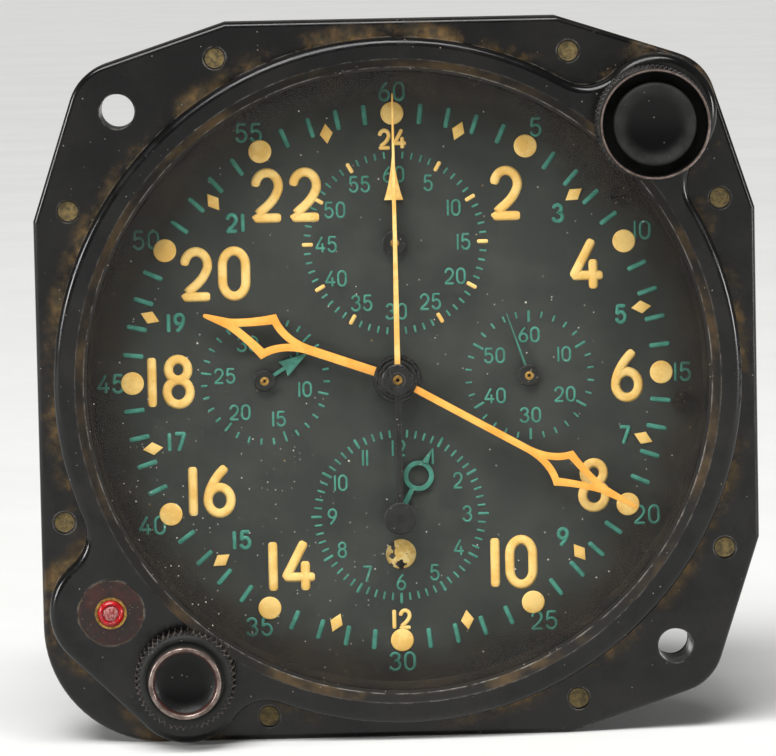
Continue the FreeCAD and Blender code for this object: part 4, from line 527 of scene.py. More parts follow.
@dataclass(frozen=True)
class DishedPlastic(Finish):
    """Hollow front of a knob: black and clean in the middle, dusty and rubbed grey outwards.

    Args:
        across: centre of the knob in x, in millimetres.
        up: centre of the knob in z, in millimetres.
        inner: radius where the grey begins.
        outer: radius where it is full.
    """

    across: float = 0.0
    up: float = 0.0
    inner: float = 2.0
    outer: float = 4.0

    def paint(self, tree: Tree, shader: bpy.types.Node) -> None:
        """Add the dark middle, the grey band and grains of dust."""
        place = millimetres(tree)
        band = ramped(tree, away_from(tree, self.across, self.up), self.inner, self.outer)
        uneven = overlap(tree, band, ramped(tree, blotches(tree, place, 1.6, 0.3, 0.7), 0.0, 1.0, 0.6, 1.0))
        grains = specks(tree, place, 0.55, 0.09, 0.12)
        colour = layered(tree, "#050505", (uneven, "#262725"), (grains, "#6b6860"))
        tree.links.new(colour, shader.inputs["Base Color"])
        shader.inputs["Specular IOR Level"].default_value = 0.2
        tree.links.new(ramped(tree, uneven, 0.0, 1.0, 0.3, 0.6), shader.inputs["Roughness"])
        grained(tree, shader, place, 0.25, 0.5, 0.008)


@dataclass(frozen=True)
class StudioPaper(Finish):
    """Seamless white paper sweep under and behind the clock."""

    def paint(self, tree: Tree, shader: bpy.types.Node) -> None:
        """Add barely uneven white paper."""
        tint = layered(tree, "#ecece9", (blotches(tree, millimetres(tree), 60.0, 0.3, 0.7), "#f1f1ef"))
        tree.links.new(tint, shader.inputs["Base Color"])
        shader.inputs["Roughness"].default_value = 0.9


# Moulded phenolic resin is near black and glossy, with tan grime where cloths don't reach.
PHENOLIC = PhenolicMoulding("phenolic_moulded_black")
# The rear case is an aluminium casting in satin black paint, worn grey at its edges.
CASE_PAINT = AgedSurface("aluminium_cast_satin_black", tone="#171716", patch_tone="#262521", patch=11.0,
                         rough=(0.42, 0.6), grain=0.5, relief=0.03, dust=0.12, wear_tone="#8b8880", wear=0.5)
# Screw ends and heads are blackened steel under tan grime.
SCREW_STEEL = AgedSurface("steel_blackened_grimy", tone="#4c4229", patch_tone="#7d6b42", patch=0.7,
                          rough=(0.55, 0.8), metallic=0.35, grain=0.25, relief=0.05, dust=0.2,
                          wear_tone="#9b8a5e", wear=0.25)
# Under the glass the same blackened steel stays clean and dark.
DIAL_SCREW_STEEL = AgedSurface("steel_blackened_dial_screw", tone="#1d1c1a", patch_tone="#3a352c", patch=0.8,
                               rough=(0.4, 0.6), metallic=0.5, grain=0.15, relief=0.02, dust=0.3)
# The crystal is polished mineral glass with dust on it, and dirt with painted shade of the rim along its
# seat.
CRYSTAL = DustyCrystal("mineral_glass_polished_dusty")
# Old moulded rubber is black and dull.
GASKET = AgedSurface("rubber_moulded_seal", tone="#100f0e", patch_tone="#241f18", patch=2.5,
                     rough=(0.6, 0.85), dust=0.2, relief=0.02)
# Matt paint keeps the ring beside the dial dark, brown where it has thinned.
SPACER_PAINT = AgedSurface("brass_ring_matt_black_paint", tone="#171614", patch_tone="#33291a", patch=4.0,
                           rough=(0.55, 0.8), grain=0.3, relief=0.02, dust=0.3)
# The dial's lacquer is flat charcoal, with smudges and dust, darker at its edge with dirt and painted shade
# of the rim.
LACQUER = DialLacquer("dial_lacquer_matt_charcoal")
# The status disc's paint has flaked off in angular chips.
STATUS = StatusPaint("status_disc_luminous_paint_flaking")
# Luminous paint is thick, granular and dull, aged from cream to deep yellow.
LUMINOUS = AgedSurface("luminous_paint_aged_yellow", tone="#edc878", patch_tone="#dfb25d", patch=2.2,
                       rough=(0.7, 0.8), grain=0.22, relief=0.03, dust_tone="#8f6a30", dust=0.16,
                       dust_size=0.06)
# Printed enamel is flat teal, thin and a little speckled.
MARK_TEAL = AgedSurface("dial_enamel_printed_teal", tone="#468c79", patch_tone="#387564", patch=1.6,
                        rough=(0.6, 0.75), grain=0.18, relief=0.02, dust_tone="#24302b", dust=0.14,
                        dust_size=0.05)
# The long hands' luminous paint has aged to orange, and is browner along its edges.
HAND_YELLOW = AgedSurface("hand_luminous_paint_orange", tone="#f3ae4d", patch_tone="#e79b38", patch=3.2,
                          rough=(0.55, 0.7), grain=0.25, relief=0.02, dust_tone="#8a5f24", dust=0.1,
                          dust_size=0.06, wear_tone="#c07f2c", wear=0.12)
# Enamel on the small hands is darker and smoother than the print.
HAND_TEAL = AgedSurface("hand_enamel_teal", tone="#3b7c6b", patch_tone="#306656", patch=1.4,
                        rough=(0.45, 0.6), relief=0.015, dust=0.15, wear_tone="#27473e", wear=0.1)
# The thin chronograph hands kept a paler luminous paint.
HAND_CREAM = AgedSurface("hand_luminous_paint_cream", tone="#efcb7c", patch_tone="#e3ae58", patch=2.4,
                         rough=(0.6, 0.75), relief=0.02, dust_tone="#8a5f24", dust=0.1,
                         dust_size=0.06, wear_tone="#c8873a", wear=0.09)
# Matt black enamel shows grey only at its rubbed edges.
HAND_BLACK = AgedSurface("hand_enamel_matt_black", tone="#1a1b1a", patch_tone="#262623", patch=1.2,
                         rough=(0.45, 0.6), grain=0.18, dust=0.3, dust_size=0.06,
                         wear_tone="#6d6a62", wear=0.08, gloss=0.3)
# Turned collets are glossy black; their bright rims are painted highlights, laid on as edge colour.
COLLET_BLACK = AgedSurface("collet_turned_gloss_black", tone="#0d0d0d", patch_tone="#151514", patch=2.0,
                           rough=(0.2, 0.3), relief=0.003, wear_tone="#8f8d87", wear=0.09)
# Painted shade: a near-black, dull disc lies in each pin's shallow hole in place of its shade.
BORE_SHADE = AgedSurface("pin_bore_painted_shade", tone="#060503", patch_tone="#100c07", patch=0.2,
                         rough=(0.6, 0.8), grain=0.05, relief=0.003, gloss=0.1)
# Turned brass pins are tarnished, gold only where rubbed.
PIN_BRASS = AgedSurface("brass_turned_tarnished", tone="#b98f4a", patch_tone="#7d5e2e", patch=0.5,
                        rough=(0.35, 0.5), metallic=0.85, grain=0.1, relief=0.004, wear_tone="#dcb873",
                        wear=0.08)
# Movement plates are grained brass, with fine lines along their height.
PLATE_BRASS = AgedSurface("brass_plate_grained", tone="#b08d4e", patch_tone="#97763d", patch=8.0,
                          rough=(0.3, 0.45), metallic=1.0, grain=0.18, relief=0.006, brushed=(1.0, 1.0, 0.06),
                          wear_tone="#d8bb80", wear=0.15)
# Wheels are polished brass, brighter than the plates.
WHEEL_BRASS = AgedSurface("brass_wheel_polished", tone="#bf9a56", patch_tone="#a58345", patch=5.0,
                          rough=(0.22, 0.36), metallic=1.0, grain=0.12, relief=0.004, brushed=(0.1, 1.0, 1.0))
# Arbors are polished steel, turned along their length.
ARBOR_STEEL = AgedSurface("steel_arbor_polished", tone="#9b9a96", patch_tone="#7f7d78", patch=2.0,
                          rough=(0.2, 0.35), metallic=1.0, grain=0.1, relief=0.003, brushed=(1.0, 0.1, 1.0))
# Tempered springs are blue and shiny.
SPRING_STEEL = AgedSurface("steel_spring_blued", tone="#2f3a5c", patch_tone="#4a4c63", patch=1.6,
                           rough=(0.25, 0.4), metallic=1.0, grain=0.1, relief=0.004)
# Handled phenolic is black, a little dull, dusty in its grip and brown-grey on its edges.
KNOB_BLACK = AgedSurface("knob_phenolic_dull_black", tone="#0b0b0b", patch_tone="#141312", patch=2.4,
                         gloss=0.35, rough=(0.25, 0.42), grain=0.18, dust_tone="#6a645a", dust=0.14,
                         dust_size=0.06, wear_tone="#7d6f66", wear=0.22)
# The knobs' hollow fronts are black in the middle and gather grey dust outwards.
UPPER_DISH = DishedPlastic("knob_phenolic_dusty_dish_upper", across=29.2, up=29.2, inner=2.6, outer=4.5)
LOWER_DISH = DishedPlastic("knob_phenolic_dusty_dish_lower", across=-25.0, up=-33.1, inner=1.8, outer=5.0)
# Painted shade: the deep groove is lined with near-black, dull phenolic, darker than the knob.
KNOB_GROOVE_SHADE = AgedSurface("knob_groove_painted_shade", tone="#040403", patch_tone="#080706", patch=1.5,
                       rough=(0.5, 0.7), relief=0.006, gloss=0.1)
# Copper plating on the knobs' rims is worn to a pinkish grey shine.
RING_WORN = AgedSurface("copper_plate_worn_ring", tone="#8f7f78", patch_tone="#5f524c", patch=1.1,
                        rough=(0.28, 0.45), metallic=0.85, grain=0.15, wear_tone="#d8c4ba", wear=0.1)
# In the corner of the ring the copper has tarnished to red-brown.
RUST_LINE = AgedSurface("copper_ring_tarnished", tone="#4a1f17", patch_tone="#2b120d", patch=0.8,
                        metallic=0.3, grain=0.12)
# Moulded acrylic is bright red and shiny, with pale grains of dust.
BUTTON_RED = AgedSurface("acrylic_moulded_red", tone="#b90f19", patch_tone="#8f0a12", patch=0.9,
                         rough=(0.12, 0.25), grain=0.12, relief=0.006, dust_tone="#f0b9b0", dust=0.2,
                         dust_size=0.05)
# Scratches cloud the middle of the button to a dull pink.
BUTTON_HEART = AgedSurface("acrylic_scratched_cloudy_red", tone="#7c2a2c", patch_tone="#a06a66", patch=0.35,
                           rough=(0.2, 0.4), grain=0.08, dust_tone="#f2dcd4", dust=0.5, dust_size=0.04)
# The label disc's lacquer is dark brown with red showing through, rubbed at its edge.
LABEL_PLATE = AgedSurface("label_disc_lacquered_brown", tone="#1e1512", patch_tone="#341813", patch=1.8,
                          gloss=0.4, rough=(0.3, 0.5), grain=0.15, dust_tone="#8f8069", dust=0.3,
                          dust_size=0.05, wear_tone="#84745c", wear=0.18)
# Matt white paper is even and without shine.
PAPER = StudioPaper("paper_seamless_white")


# Shapes

@dataclass(frozen=True)
class Seat:
    """Where a piece belongs.

    Args:
        rider: body of the frame it moves with.
        slot: material slot of the record; not used.
        x: place to the right of the axis, in millimetres.
        y: place above the axis, in millimetres.
        reading: clockwise turn from pointing up, in degrees.
    """

    rider: Rider
    slot: Slot
    x: float = 0.0
    y: float = 0.0
    reading: float = 0.0

    def matrix(self) -> Matrix:
        """Place of the piece in the CAD frame."""
        return (STAND @ Matrix.Translation((self.x, self.y, 0.0))
                @ Matrix.Rotation(-math.radians(self.reading), 4, "Z"))


def turned(profile: Sequence[Point], steps: int = 96, closed: bool = False) -> Shape:
    """Shape turned on a lathe about the z axis.

    Args:
        profile: radius and height of each corner, from the rear centre outwards and round to the front.
        steps: sides of the full turn.
        closed: join the last corner to the first, for a ring.

    Returns:
        A closed shape whose faces point outwards.
    """
    shape = bmesh.new()
    corners = [shape.verts.new((radius, 0.0, height)) for radius, height in profile]
    pairs = list(zip(corners, corners[1:])) + ([(corners[-1], corners[0])] if closed else [])
    edges = [shape.edges.new(pair) for pair in pairs]
    bmesh.ops.spin(shape, geom=corners + edges, cent=(0, 0, 0), axis=(0, 0, 1), dvec=(0, 0, 0),
                   angle=2 * math.pi, steps=steps, use_merge=True)
    bmesh.ops.remove_doubles(shape, verts=shape.verts, dist=1e-4)
    bmesh.ops.recalc_face_normals(shape, faces=shape.faces)
    return shape


def softened(shape: Shape, offset: float, angle: float = 35.0, segments: int = 2,
             above: Optional[float] = None) -> Shape:
    """Shape with its sharp edges rounded.

    Args:
        shape: the shape, which is changed.
        offset: width of the rounding in millimetres.
        angle: edges sharper than this are rounded, in degrees.
        segments: steps of the rounding.
        above: only edges at or above this height, where given.

    Returns:
        The same shape.
    """
    sharp = [edge for edge in shape.edges
             if len(edge.link_faces) == 2 and edge.calc_face_angle(0.0) > math.radians(angle)
             and (above is None or min(corner.co.z for corner in edge.verts) >= above)]
    bmesh.ops.bevel(shape, geom=sharp, offset=offset, offset_type="OFFSET", affect="EDGES",
                    segments=segments, profile=0.5, material=-1, clamp_overlap=True)
    return shape


def flat_plate(loops: Sequence[Sequence[Point]], low: float, thick: float,
               edge: float = 0.06) -> Shape:
    """Flat plate with windows and a rounded front edge.

    Args:
        loops: the outline, then any windows.
        low: height of its rear face in millimetres.
        thick: thickness in millimetres.
        edge: rounding of the front edges in millimetres.

    Returns:
        A closed shape.
    """
    shape = bmesh.new()
    edges: List[bmesh.types.BMEdge] = []
    for loop in loops:
        corners = [shape.verts.new((x, y, low)) for x, y in loop]
        edges += [shape.edges.new(pair) for pair in zip(corners, corners[1:] + corners[:1])]
    filled = bmesh.ops.triangle_fill(shape, use_beauty=True, edges=edges, normal=(0, 0, 1))
    faces = [item for item in filled["geom"] if isinstance(item, bmesh.types.BMFace)]
    raised = bmesh.ops.extrude_face_region(shape, geom=faces, use_keep_orig=True)
    top = [item for item in raised["geom"] if isinstance(item, bmesh.types.BMVert)]
    bmesh.ops.translate(shape, vec=(0, 0, thick), verts=top)
    bmesh.ops.recalc_face_normals(shape, faces=shape.faces)
    return softened(shape, edge, 50.0, 2, low + thick - 1e-4) if edge > 0 else shape


def wavy_disc(radii: Sequence[float], low: float, high: float, edge: float = 0.0) -> Shape:
    """Disc whose rim follows a row of radii, for teeth and beads.

    Args:
        radii: radius at each equal step of the turn.
        low: height of the rear face.
        high: height of the front face.
        edge: rounding of the front edge.

    Returns:
        A closed shape.
    """
    shape = bmesh.new()
    made = bmesh.ops.create_circle(shape, cap_ends=True, segments=len(radii), radius=1.0)
    shape.verts.ensure_lookup_table()
    for corner, radius in zip(made["verts"], radii):
        corner.co *= radius
    raised = bmesh.ops.extrude_face_region(shape, geom=shape.faces[:], use_keep_orig=True)
    top = [item for item in raised["geom"] if isinstance(item, bmesh.types.BMVert)]
    bmesh.ops.translate(shape, vec=(0, 0, low), verts=shape.verts)
    bmesh.ops.translate(shape, vec=(0, 0, high - low), verts=top)
    bmesh.ops.recalc_face_normals(shape, faces=shape.faces)
    return softened(shape, edge, 60.0, 1, high - 1e-4) if edge > 0 else shape


def joined(shapes: Sequence[Shape]) -> Shape:
    """One shape of several; the parts are freed."""
    whole = bmesh.new()
    for shape in shapes:
        part = bpy.data.meshes.new("part")
        shape.to_mesh(part)
        shape.free()
        whole.from_mesh(part)
        bpy.data.meshes.remove(part)
    return whole


def strewn(shape: Shape, places: Sequence[Matrix]) -> Shape:
    """Copies of a shape at several places, as one shape."""
    copies = []
    for place in places:
        copy = shape.copy()
        bmesh.ops.transform(copy, matrix=place, verts=copy.verts)
        copies.append(copy)
    shape.free()
    return joined(copies)


def bent(start: Point, pull: Point, end: Point, steps: int = 8) -> List[Point]:
    """Points of a smooth bend after its start, up to and with its end."""
    points = []
    for step in range(1, steps + 1):
        share = step / steps
        points.append(tuple(
            (1 - share) ** 2 * a + 2 * share * (1 - share) * b + share ** 2 * c
            for a, b, c in zip(start, pull, end)))
    return points


def both_sides(right: Sequence[Point]) -> List[Point]:
    """Closed outline from its right half, given from the foot to the tip."""
    return list(right) + [(-x, y) for x, y in reversed(right) if abs(x) > 1e-6]


def show(name: str, mesh: bpy.types.Mesh, finish: Finish, seat: Seat, replaces: Sequence[str] = ()) -> None:
    """Put a finished mesh into the scene as a piece of the clock.

    Args:
        name: name of the piece.
        mesh: the mesh, already in place in the CAD frame.
        finish: its surface.
        seat: what it rides on.
        replaces: CAD nodes it stands for.
    """
    piece = bpy.data.objects.new(name, mesh)
    bpy.context.scene.collection.objects.link(piece)
    mesh.materials.clear()
    mesh.materials.append(finish.material())
    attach(piece, seat.rider.value)
    if replaces:
        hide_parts(*replaces)
    LOG.info("%s: %d faces, %s", name, len(mesh.polygons), finish.name)


def place_piece(name: str, shape: Shape, finish: Finish, seat: Seat,
                replaces: Sequence[str] = (), smooth: float = 32.0) -> None:
    """Stand a shape up at its seat and show it.

    Args:
        name: name of the piece.
        shape: its shape in millimetres, which is freed.
        finish: its surface.
        seat: where it belongs.
        replaces: CAD nodes it stands for.
        smooth: edges sharper than this stay sharp, in degrees.
    """
    bmesh.ops.transform(shape, matrix=seat.matrix(), verts=shape.verts)
    bmesh.ops.recalc_face_normals(shape, faces=shape.faces)
    mesh = bpy.data.meshes.new(name)
    shape.to_mesh(mesh)
    shape.free()
    mesh.shade_smooth()
    mesh.set_sharp_from_angle(angle=math.radians(smooth))
    show(name, mesh, finish, seat, replaces)


# Painted marks

def bow(x: float, y: float, wide: float, tall: float, start: float, end: float,
        steps: int = 14) -> List[Point]:
    """Points along a part of an ellipse, angles in degrees from the right."""
    points = []
    for step in range(steps + 1):
        angle = math.radians(start + (end - start) * step / steps)
        points.append((x + wide * math.cos(angle), y + tall * math.sin(angle)))
    return points


def digit_strokes(digit: str) -> List[Tuple[List[Point], bool]]:
    """Strokes of a digit in a box one wide and one high.

    Args:
        digit: one of 0 to 9.

    Returns:
        Each stroke's points and whether it closes on itself.
    """
    if digit == "0":
        return [(bow(0.5, 0.68, 0.5, 0.32, 0, 180) + bow(0.5, 0.32, 0.5, 0.32, 180, 360), True)]
    if digit == "1":
        return [([(0.0, 0.0), (0.0, 1.0)], False)]
    if digit == "2":
        fall = bent((0.97, 0.62), (0.86, 0.42), (0.45, 0.24), 5)
        fall += bent((0.45, 0.24), (0.08, 0.1), (0.0, 0.0), 5)
        return [(bow(0.5, 0.7, 0.5, 0.3, 172, -12) + fall, False), ([(0.0, 0.0), (1.0, 0.0)], False)]
    if digit == "3":
        upper = bow(0.46, 0.76, 0.46, 0.24, 165, -90)
        return [(upper + bow(0.46, 0.27, 0.54, 0.27, 82, -165), False)]
    if digit == "4":
        return [([(0.7, 1.0), (-0.08, 0.25)], False), ([(-0.08, 0.25), (1.08, 0.25)], False),
                ([(0.76, 0.56), (0.76, 0.0)], False)]
    if digit == "5":
        return [([(0.92, 1.0), (0.14, 1.0)], False), ([(0.14, 1.0), (0.06, 0.54)], False),
                (bow(0.48, 0.32, 0.52, 0.32, 140, -160), False)]
    if digit in "69":
        stem = [(0.74, 1.0)] + bent((0.74, 1.0), (0.06, 0.66), (0.0, 0.3), 8)
        strokes = [(stem, False), (bow(0.5, 0.29, 0.5, 0.29, 0, 344, 21), True)]
        if digit == "9":
            strokes = [([(1 - x, 1 - y) for x, y in points], shut) for points, shut in strokes]
        return strokes
    if digit == "7":
        return [([(0.0, 1.0), (1.0, 1.0)], False), ([(1.0, 1.0), (0.34, 0.0)], False)]
    return [(bow(0.5, 0.27, 0.5, 0.27, 0, 342, 19), True), (bow(0.5, 0.77, 0.42, 0.23, 0, 342, 19), True)]


@dataclass
class Brush:
    """Collects strokes of one paint and lays them on the dial as one low relief.

    Args:
        name: name of the piece.
        finish: the paint.
        relief: height of the paint above the dial, in millimetres.
        runs: points, half width and closing of each stroke.
    """

    name: str
    finish: Finish
    relief: float = 0.06
    runs: List[Tuple[List[Point], float, bool]] = field(default_factory=list)

    def stroke(self, points: Sequence[Point], half: float, shut: bool = False) -> None:
        """Add a stroke through points, of a half width."""
        self.runs.append((list(points), half, shut))

    def tick(self, centre: Point, inner: float, outer: float, reading: float, half: float) -> None:
        """Add a tick between two radii at a clock angle."""
        across, up = math.sin(math.radians(reading)), math.cos(math.radians(reading))
        self.stroke([(centre[0] + inner * across, centre[1] + inner * up),
                     (centre[0] + outer * across, centre[1] + outer * up)], half)

    def number(self, text: str, centre: Point, height: float, half: float, wide: float, gap: float) -> None:
        """Add an upright number.

        Args:
            text: its digits.
            centre: middle of the number.
            height: full height of the digits with their strokes.
            half: half width of the strokes.
            wide: full width of a digit with its strokes.
            gap: clear space between digits.
        """
        inner, tall = wide - 2 * half, height - 2 * half
        spans = [0.0 if digit == "1" else inner for digit in text]
        left = centre[0] - (sum(spans) + (len(text) - 1) * (gap + 2 * half)) / 2
        for digit, span in zip(text, spans):
            for points, shut in digit_strokes(digit):
                self.stroke([(left + x * span, centre[1] + (y - 0.5) * tall) for x, y in points], half, shut)
            left += span + gap + 2 * half

    def lay(self, seat: Seat) -> None:
        """Turn the strokes into one mesh on the dial and show it."""
        curve = bpy.data.curves.new(self.name, "CURVE")
        curve.dimensions, curve.twist_mode = "3D", "Z_UP"
        curve.bevel_depth, curve.bevel_resolution, curve.use_fill_caps = 1.0, 1, True
        widest = max(half for points, half, shut in self.runs)
        # Strokes that cross lie at three slightly different heights, so no two faces coincide.
        for order, (points, half, shut) in enumerate(self.runs):
            rows = [(Vector((x, y, 0.1 * widest * (order % 3))), half) for x, y in points]
            if not shut:
                for index, beside in ((0, 1), (-1, -2)):
                    tip, inward = rows[index][0], (rows[beside][0] - rows[index][0]).normalized()
                    ends = [(tip + inward * half * along, half * share) for along, share in STROKE_END]
                    rows = ends + rows[1:] if index == 0 else rows[:-1] + ends[::-1]
            spline = curve.splines.new("POLY")
            spline.points.add(len(rows) - 1)
            spline.use_cyclic_u = shut
            for point, (spot, radius) in zip(spline.points, rows):
                point.co = (*spot, 1.0)
                point.radius = radius
        maker = bpy.data.objects.new(self.name + "_curve", curve)
        bpy.context.scene.collection.objects.link(maker)
        bpy.context.view_layer.update()
        mesh = bpy.data.meshes.new_from_object(maker)
        bpy.data.objects.remove(maker)
        mesh.name = self.name
        low_relief = Matrix.Diagonal((1.0, 1.0, self.relief / widest, 1.0))
        mesh.transform(seat.matrix() @ Matrix.Translation((0.0, 0.0, DIAL)) @ low_relief)
        mesh.shade_smooth()
        show(self.name, mesh, self.finish, seat)


@dataclass
class DialPrint:
    """All that is painted on the dial: numerals, ticks, dots and lozenges.

    Args:
        big: large 24-hour numerals and their middles in millimetres.
        odd: small odd hours.
        poles: hours 24 and 12.
        minute_ring: radius of the ticks and dots.
        numeral_ring: radius of the minute numbers.
        lozenge_ring: radius of the lozenges.
        register: axis of the 60-minute dial.
        seconds: axis of the seconds dial.
        date: axis of the date dial.
        elapsed: axis of the elapsed-time dial.
        date_lag: turn of the date marks back from the top, in degrees.
        seat: where the paint belongs.
    """

    big: Mapping[str, Point] = field(default_factory=lambda: {
        "2": (12.94, 21.05), "4": (22.13, 12.67), "6": (26.53, -0.26), "8": (22.51, -12.95),
        "10": (13.1, -21.7), "14": (-12.59, -21.58), "16": (-21.63, -12.65), "18": (-26.06, 0.08),
        "20": (-20.7, 12.44), "22": (-12.35, 21.35)})
    odd: Mapping[str, Point] = field(default_factory=lambda: {
        "3": (18.89, 18.62), "5": (25.95, 6.81), "7": (26.19, -7.22), "9": (18.82, -18.91),
        "15": (-18.3, -18.42), "17": (-25.53, -6.87), "19": (-25.32, 6.89), "21": (-18.27, 18.26)})
    poles: Mapping[str, Point] = field(default_factory=lambda: {"24": (-0.04, 27.53), "12": (0.01, -28.05)})
    minute_ring: float = 30.5
    numeral_ring: float = 33.0
    lozenge_ring: float = 29.3
    register: Point = (0.06, 15.56)
    seconds: Point = (15.3, 0.0)
    date: Point = (-15.2, 0.0)
    elapsed: Point = (0.01, -15.95)
    date_lag: float = 12.6
    seat: Seat = Seat(Rider.CASE, Slot.DIAL)

    def build(self) -> None:
        """Paint the whole dial."""
        self.paint_hours()
        self.paint_minutes()
        self.paint_dots()
        self.paint_small_dials()

    def paint_hours(self) -> None:
        """Large even numerals, 24 and 12, and the small odd hours."""
        large = Brush("numerals_even_hours", LUMINOUS, 0.14)
        for text, centre in self.big.items():
            large.number(text, centre, 6.3, 0.54, 3.75, 0.62)
        for text, centre in self.poles.items():
            large.number(text, centre, 2.45, 0.23, 1.5, 0.28)
        large.lay(self.seat)
        small = Brush("numerals_odd_hours", MARK_TEAL, 0.07)
        for text, centre in self.odd.items():
            small.number(text, centre, 2.35, 0.23, 1.45, 0.3)
        small.lay(self.seat)

    def paint_minutes(self) -> None:
        """Minute ticks and the numbers 5 to 60 outside them."""
        ticks = Brush("minute_ticks", MARK_TEAL, 0.08)
        for minute in range(60):
            if minute % 5:
                ticks.tick((0.0, 0.0), self.minute_ring - 1.05, self.minute_ring + 1.05, 6 * minute, 0.28)
        ticks.lay(self.seat)
        numbers = Brush("minute_numbers", MARK_TEAL, 0.05)
        for minute in range(5, 65, 5):
            angle = math.radians(6 * minute)
            centre = (self.numeral_ring * math.sin(angle), self.numeral_ring * math.cos(angle))
            numbers.number(str(minute), centre, 2.3, 0.16, 1.4, 0.28)
        numbers.lay(self.seat)

    def paint_dots(self) -> None:
        """Luminous dots every five minutes and lozenges at the odd hours."""
        dome = turned([(0.0, -0.05), (1.32, -0.05), (1.32, 0.06), (1.24, 0.13), (1.0, 0.16), (0.0, 0.17)], 36)
        spots = [Matrix.Rotation(-math.radians(30 * hour), 4, "Z") @ Matrix.Translation(
            (0.0, self.minute_ring, DIAL)) for hour in range(12)]
        place_piece("luminous_dots", strewn(dome, spots), LUMINOUS, self.seat)
        lozenge = flat_plate([[(-0.2, -1.15), (0.75, -0.1), (0.2, 1.15), (-0.75, 0.1)]], -0.05, 0.18, 0.08)
        spots = [Matrix.Rotation(-math.radians(30 * hour + 15), 4, "Z") @ Matrix.Translation(
            (0.0, self.lozenge_ring, DIAL)) for hour in range(12)]
        place_piece("luminous_lozenges", strewn(lozenge, spots), LUMINOUS, self.seat)

    def paint_small_dials(self) -> None:
        """Rings of ticks and numbers of the four small dials."""
        lines = Brush("small_dial_ticks", MARK_TEAL, 0.06)
        bars = Brush("register_bars", LUMINOUS, 0.09)
        numbers = Brush("small_dial_numbers", MARK_TEAL, 0.05)
        for minute in range(60):
            if minute % 5:
                lines.tick(self.register, 9.8, 10.5, 6 * minute, 0.12)
            elif minute:
                bars.tick(self.register, 9.55, 10.6, 6 * minute, 0.23)
            if minute % 10 == 0:
                lines.tick(self.seconds, 6.2, 7.4, 6 * minute, 0.15)
            elif minute % 2 == 0:
                lines.tick(self.seconds, 6.75, 7.4, 6 * minute, 0.11)
            outer, half = (10.2, 0.16) if minute % 5 == 0 else (9.9, 0.12)
            lines.tick(self.elapsed, 9.1, outer, 6 * minute, half)
        for day in range(1, 32):
            lines.tick(self.date, 6.3 if day % 5 == 0 else 6.75, 7.4, day * 360 / 31 - self.date_lag, 0.13)
        for centre, ring, marks, size in (
                (self.register, 7.9, [(str(m), 6 * m) for m in range(5, 65, 5)], 1.95),
                (self.seconds, 4.65, [(str(s), 6 * s) for s in range(10, 70, 10)], 1.85),
                (self.date, 4.7, [(str(d), d * 360 / 31 - self.date_lag) for d in range(5, 35, 5)], 1.85),
                (self.elapsed, 7.8, [(str(h), 30 * h) for h in range(1, 13)], 1.95)):
            for text, reading in marks:
                angle = math.radians(reading)
                spot = (centre[0] + ring * math.sin(angle), centre[1] + ring * math.cos(angle))
                numbers.number(text, spot, size, 0.125, 1.12, 0.22)
        lines.lay(self.seat)
        bars.lay(self.seat)
        numbers.lay(self.seat)


# Hands

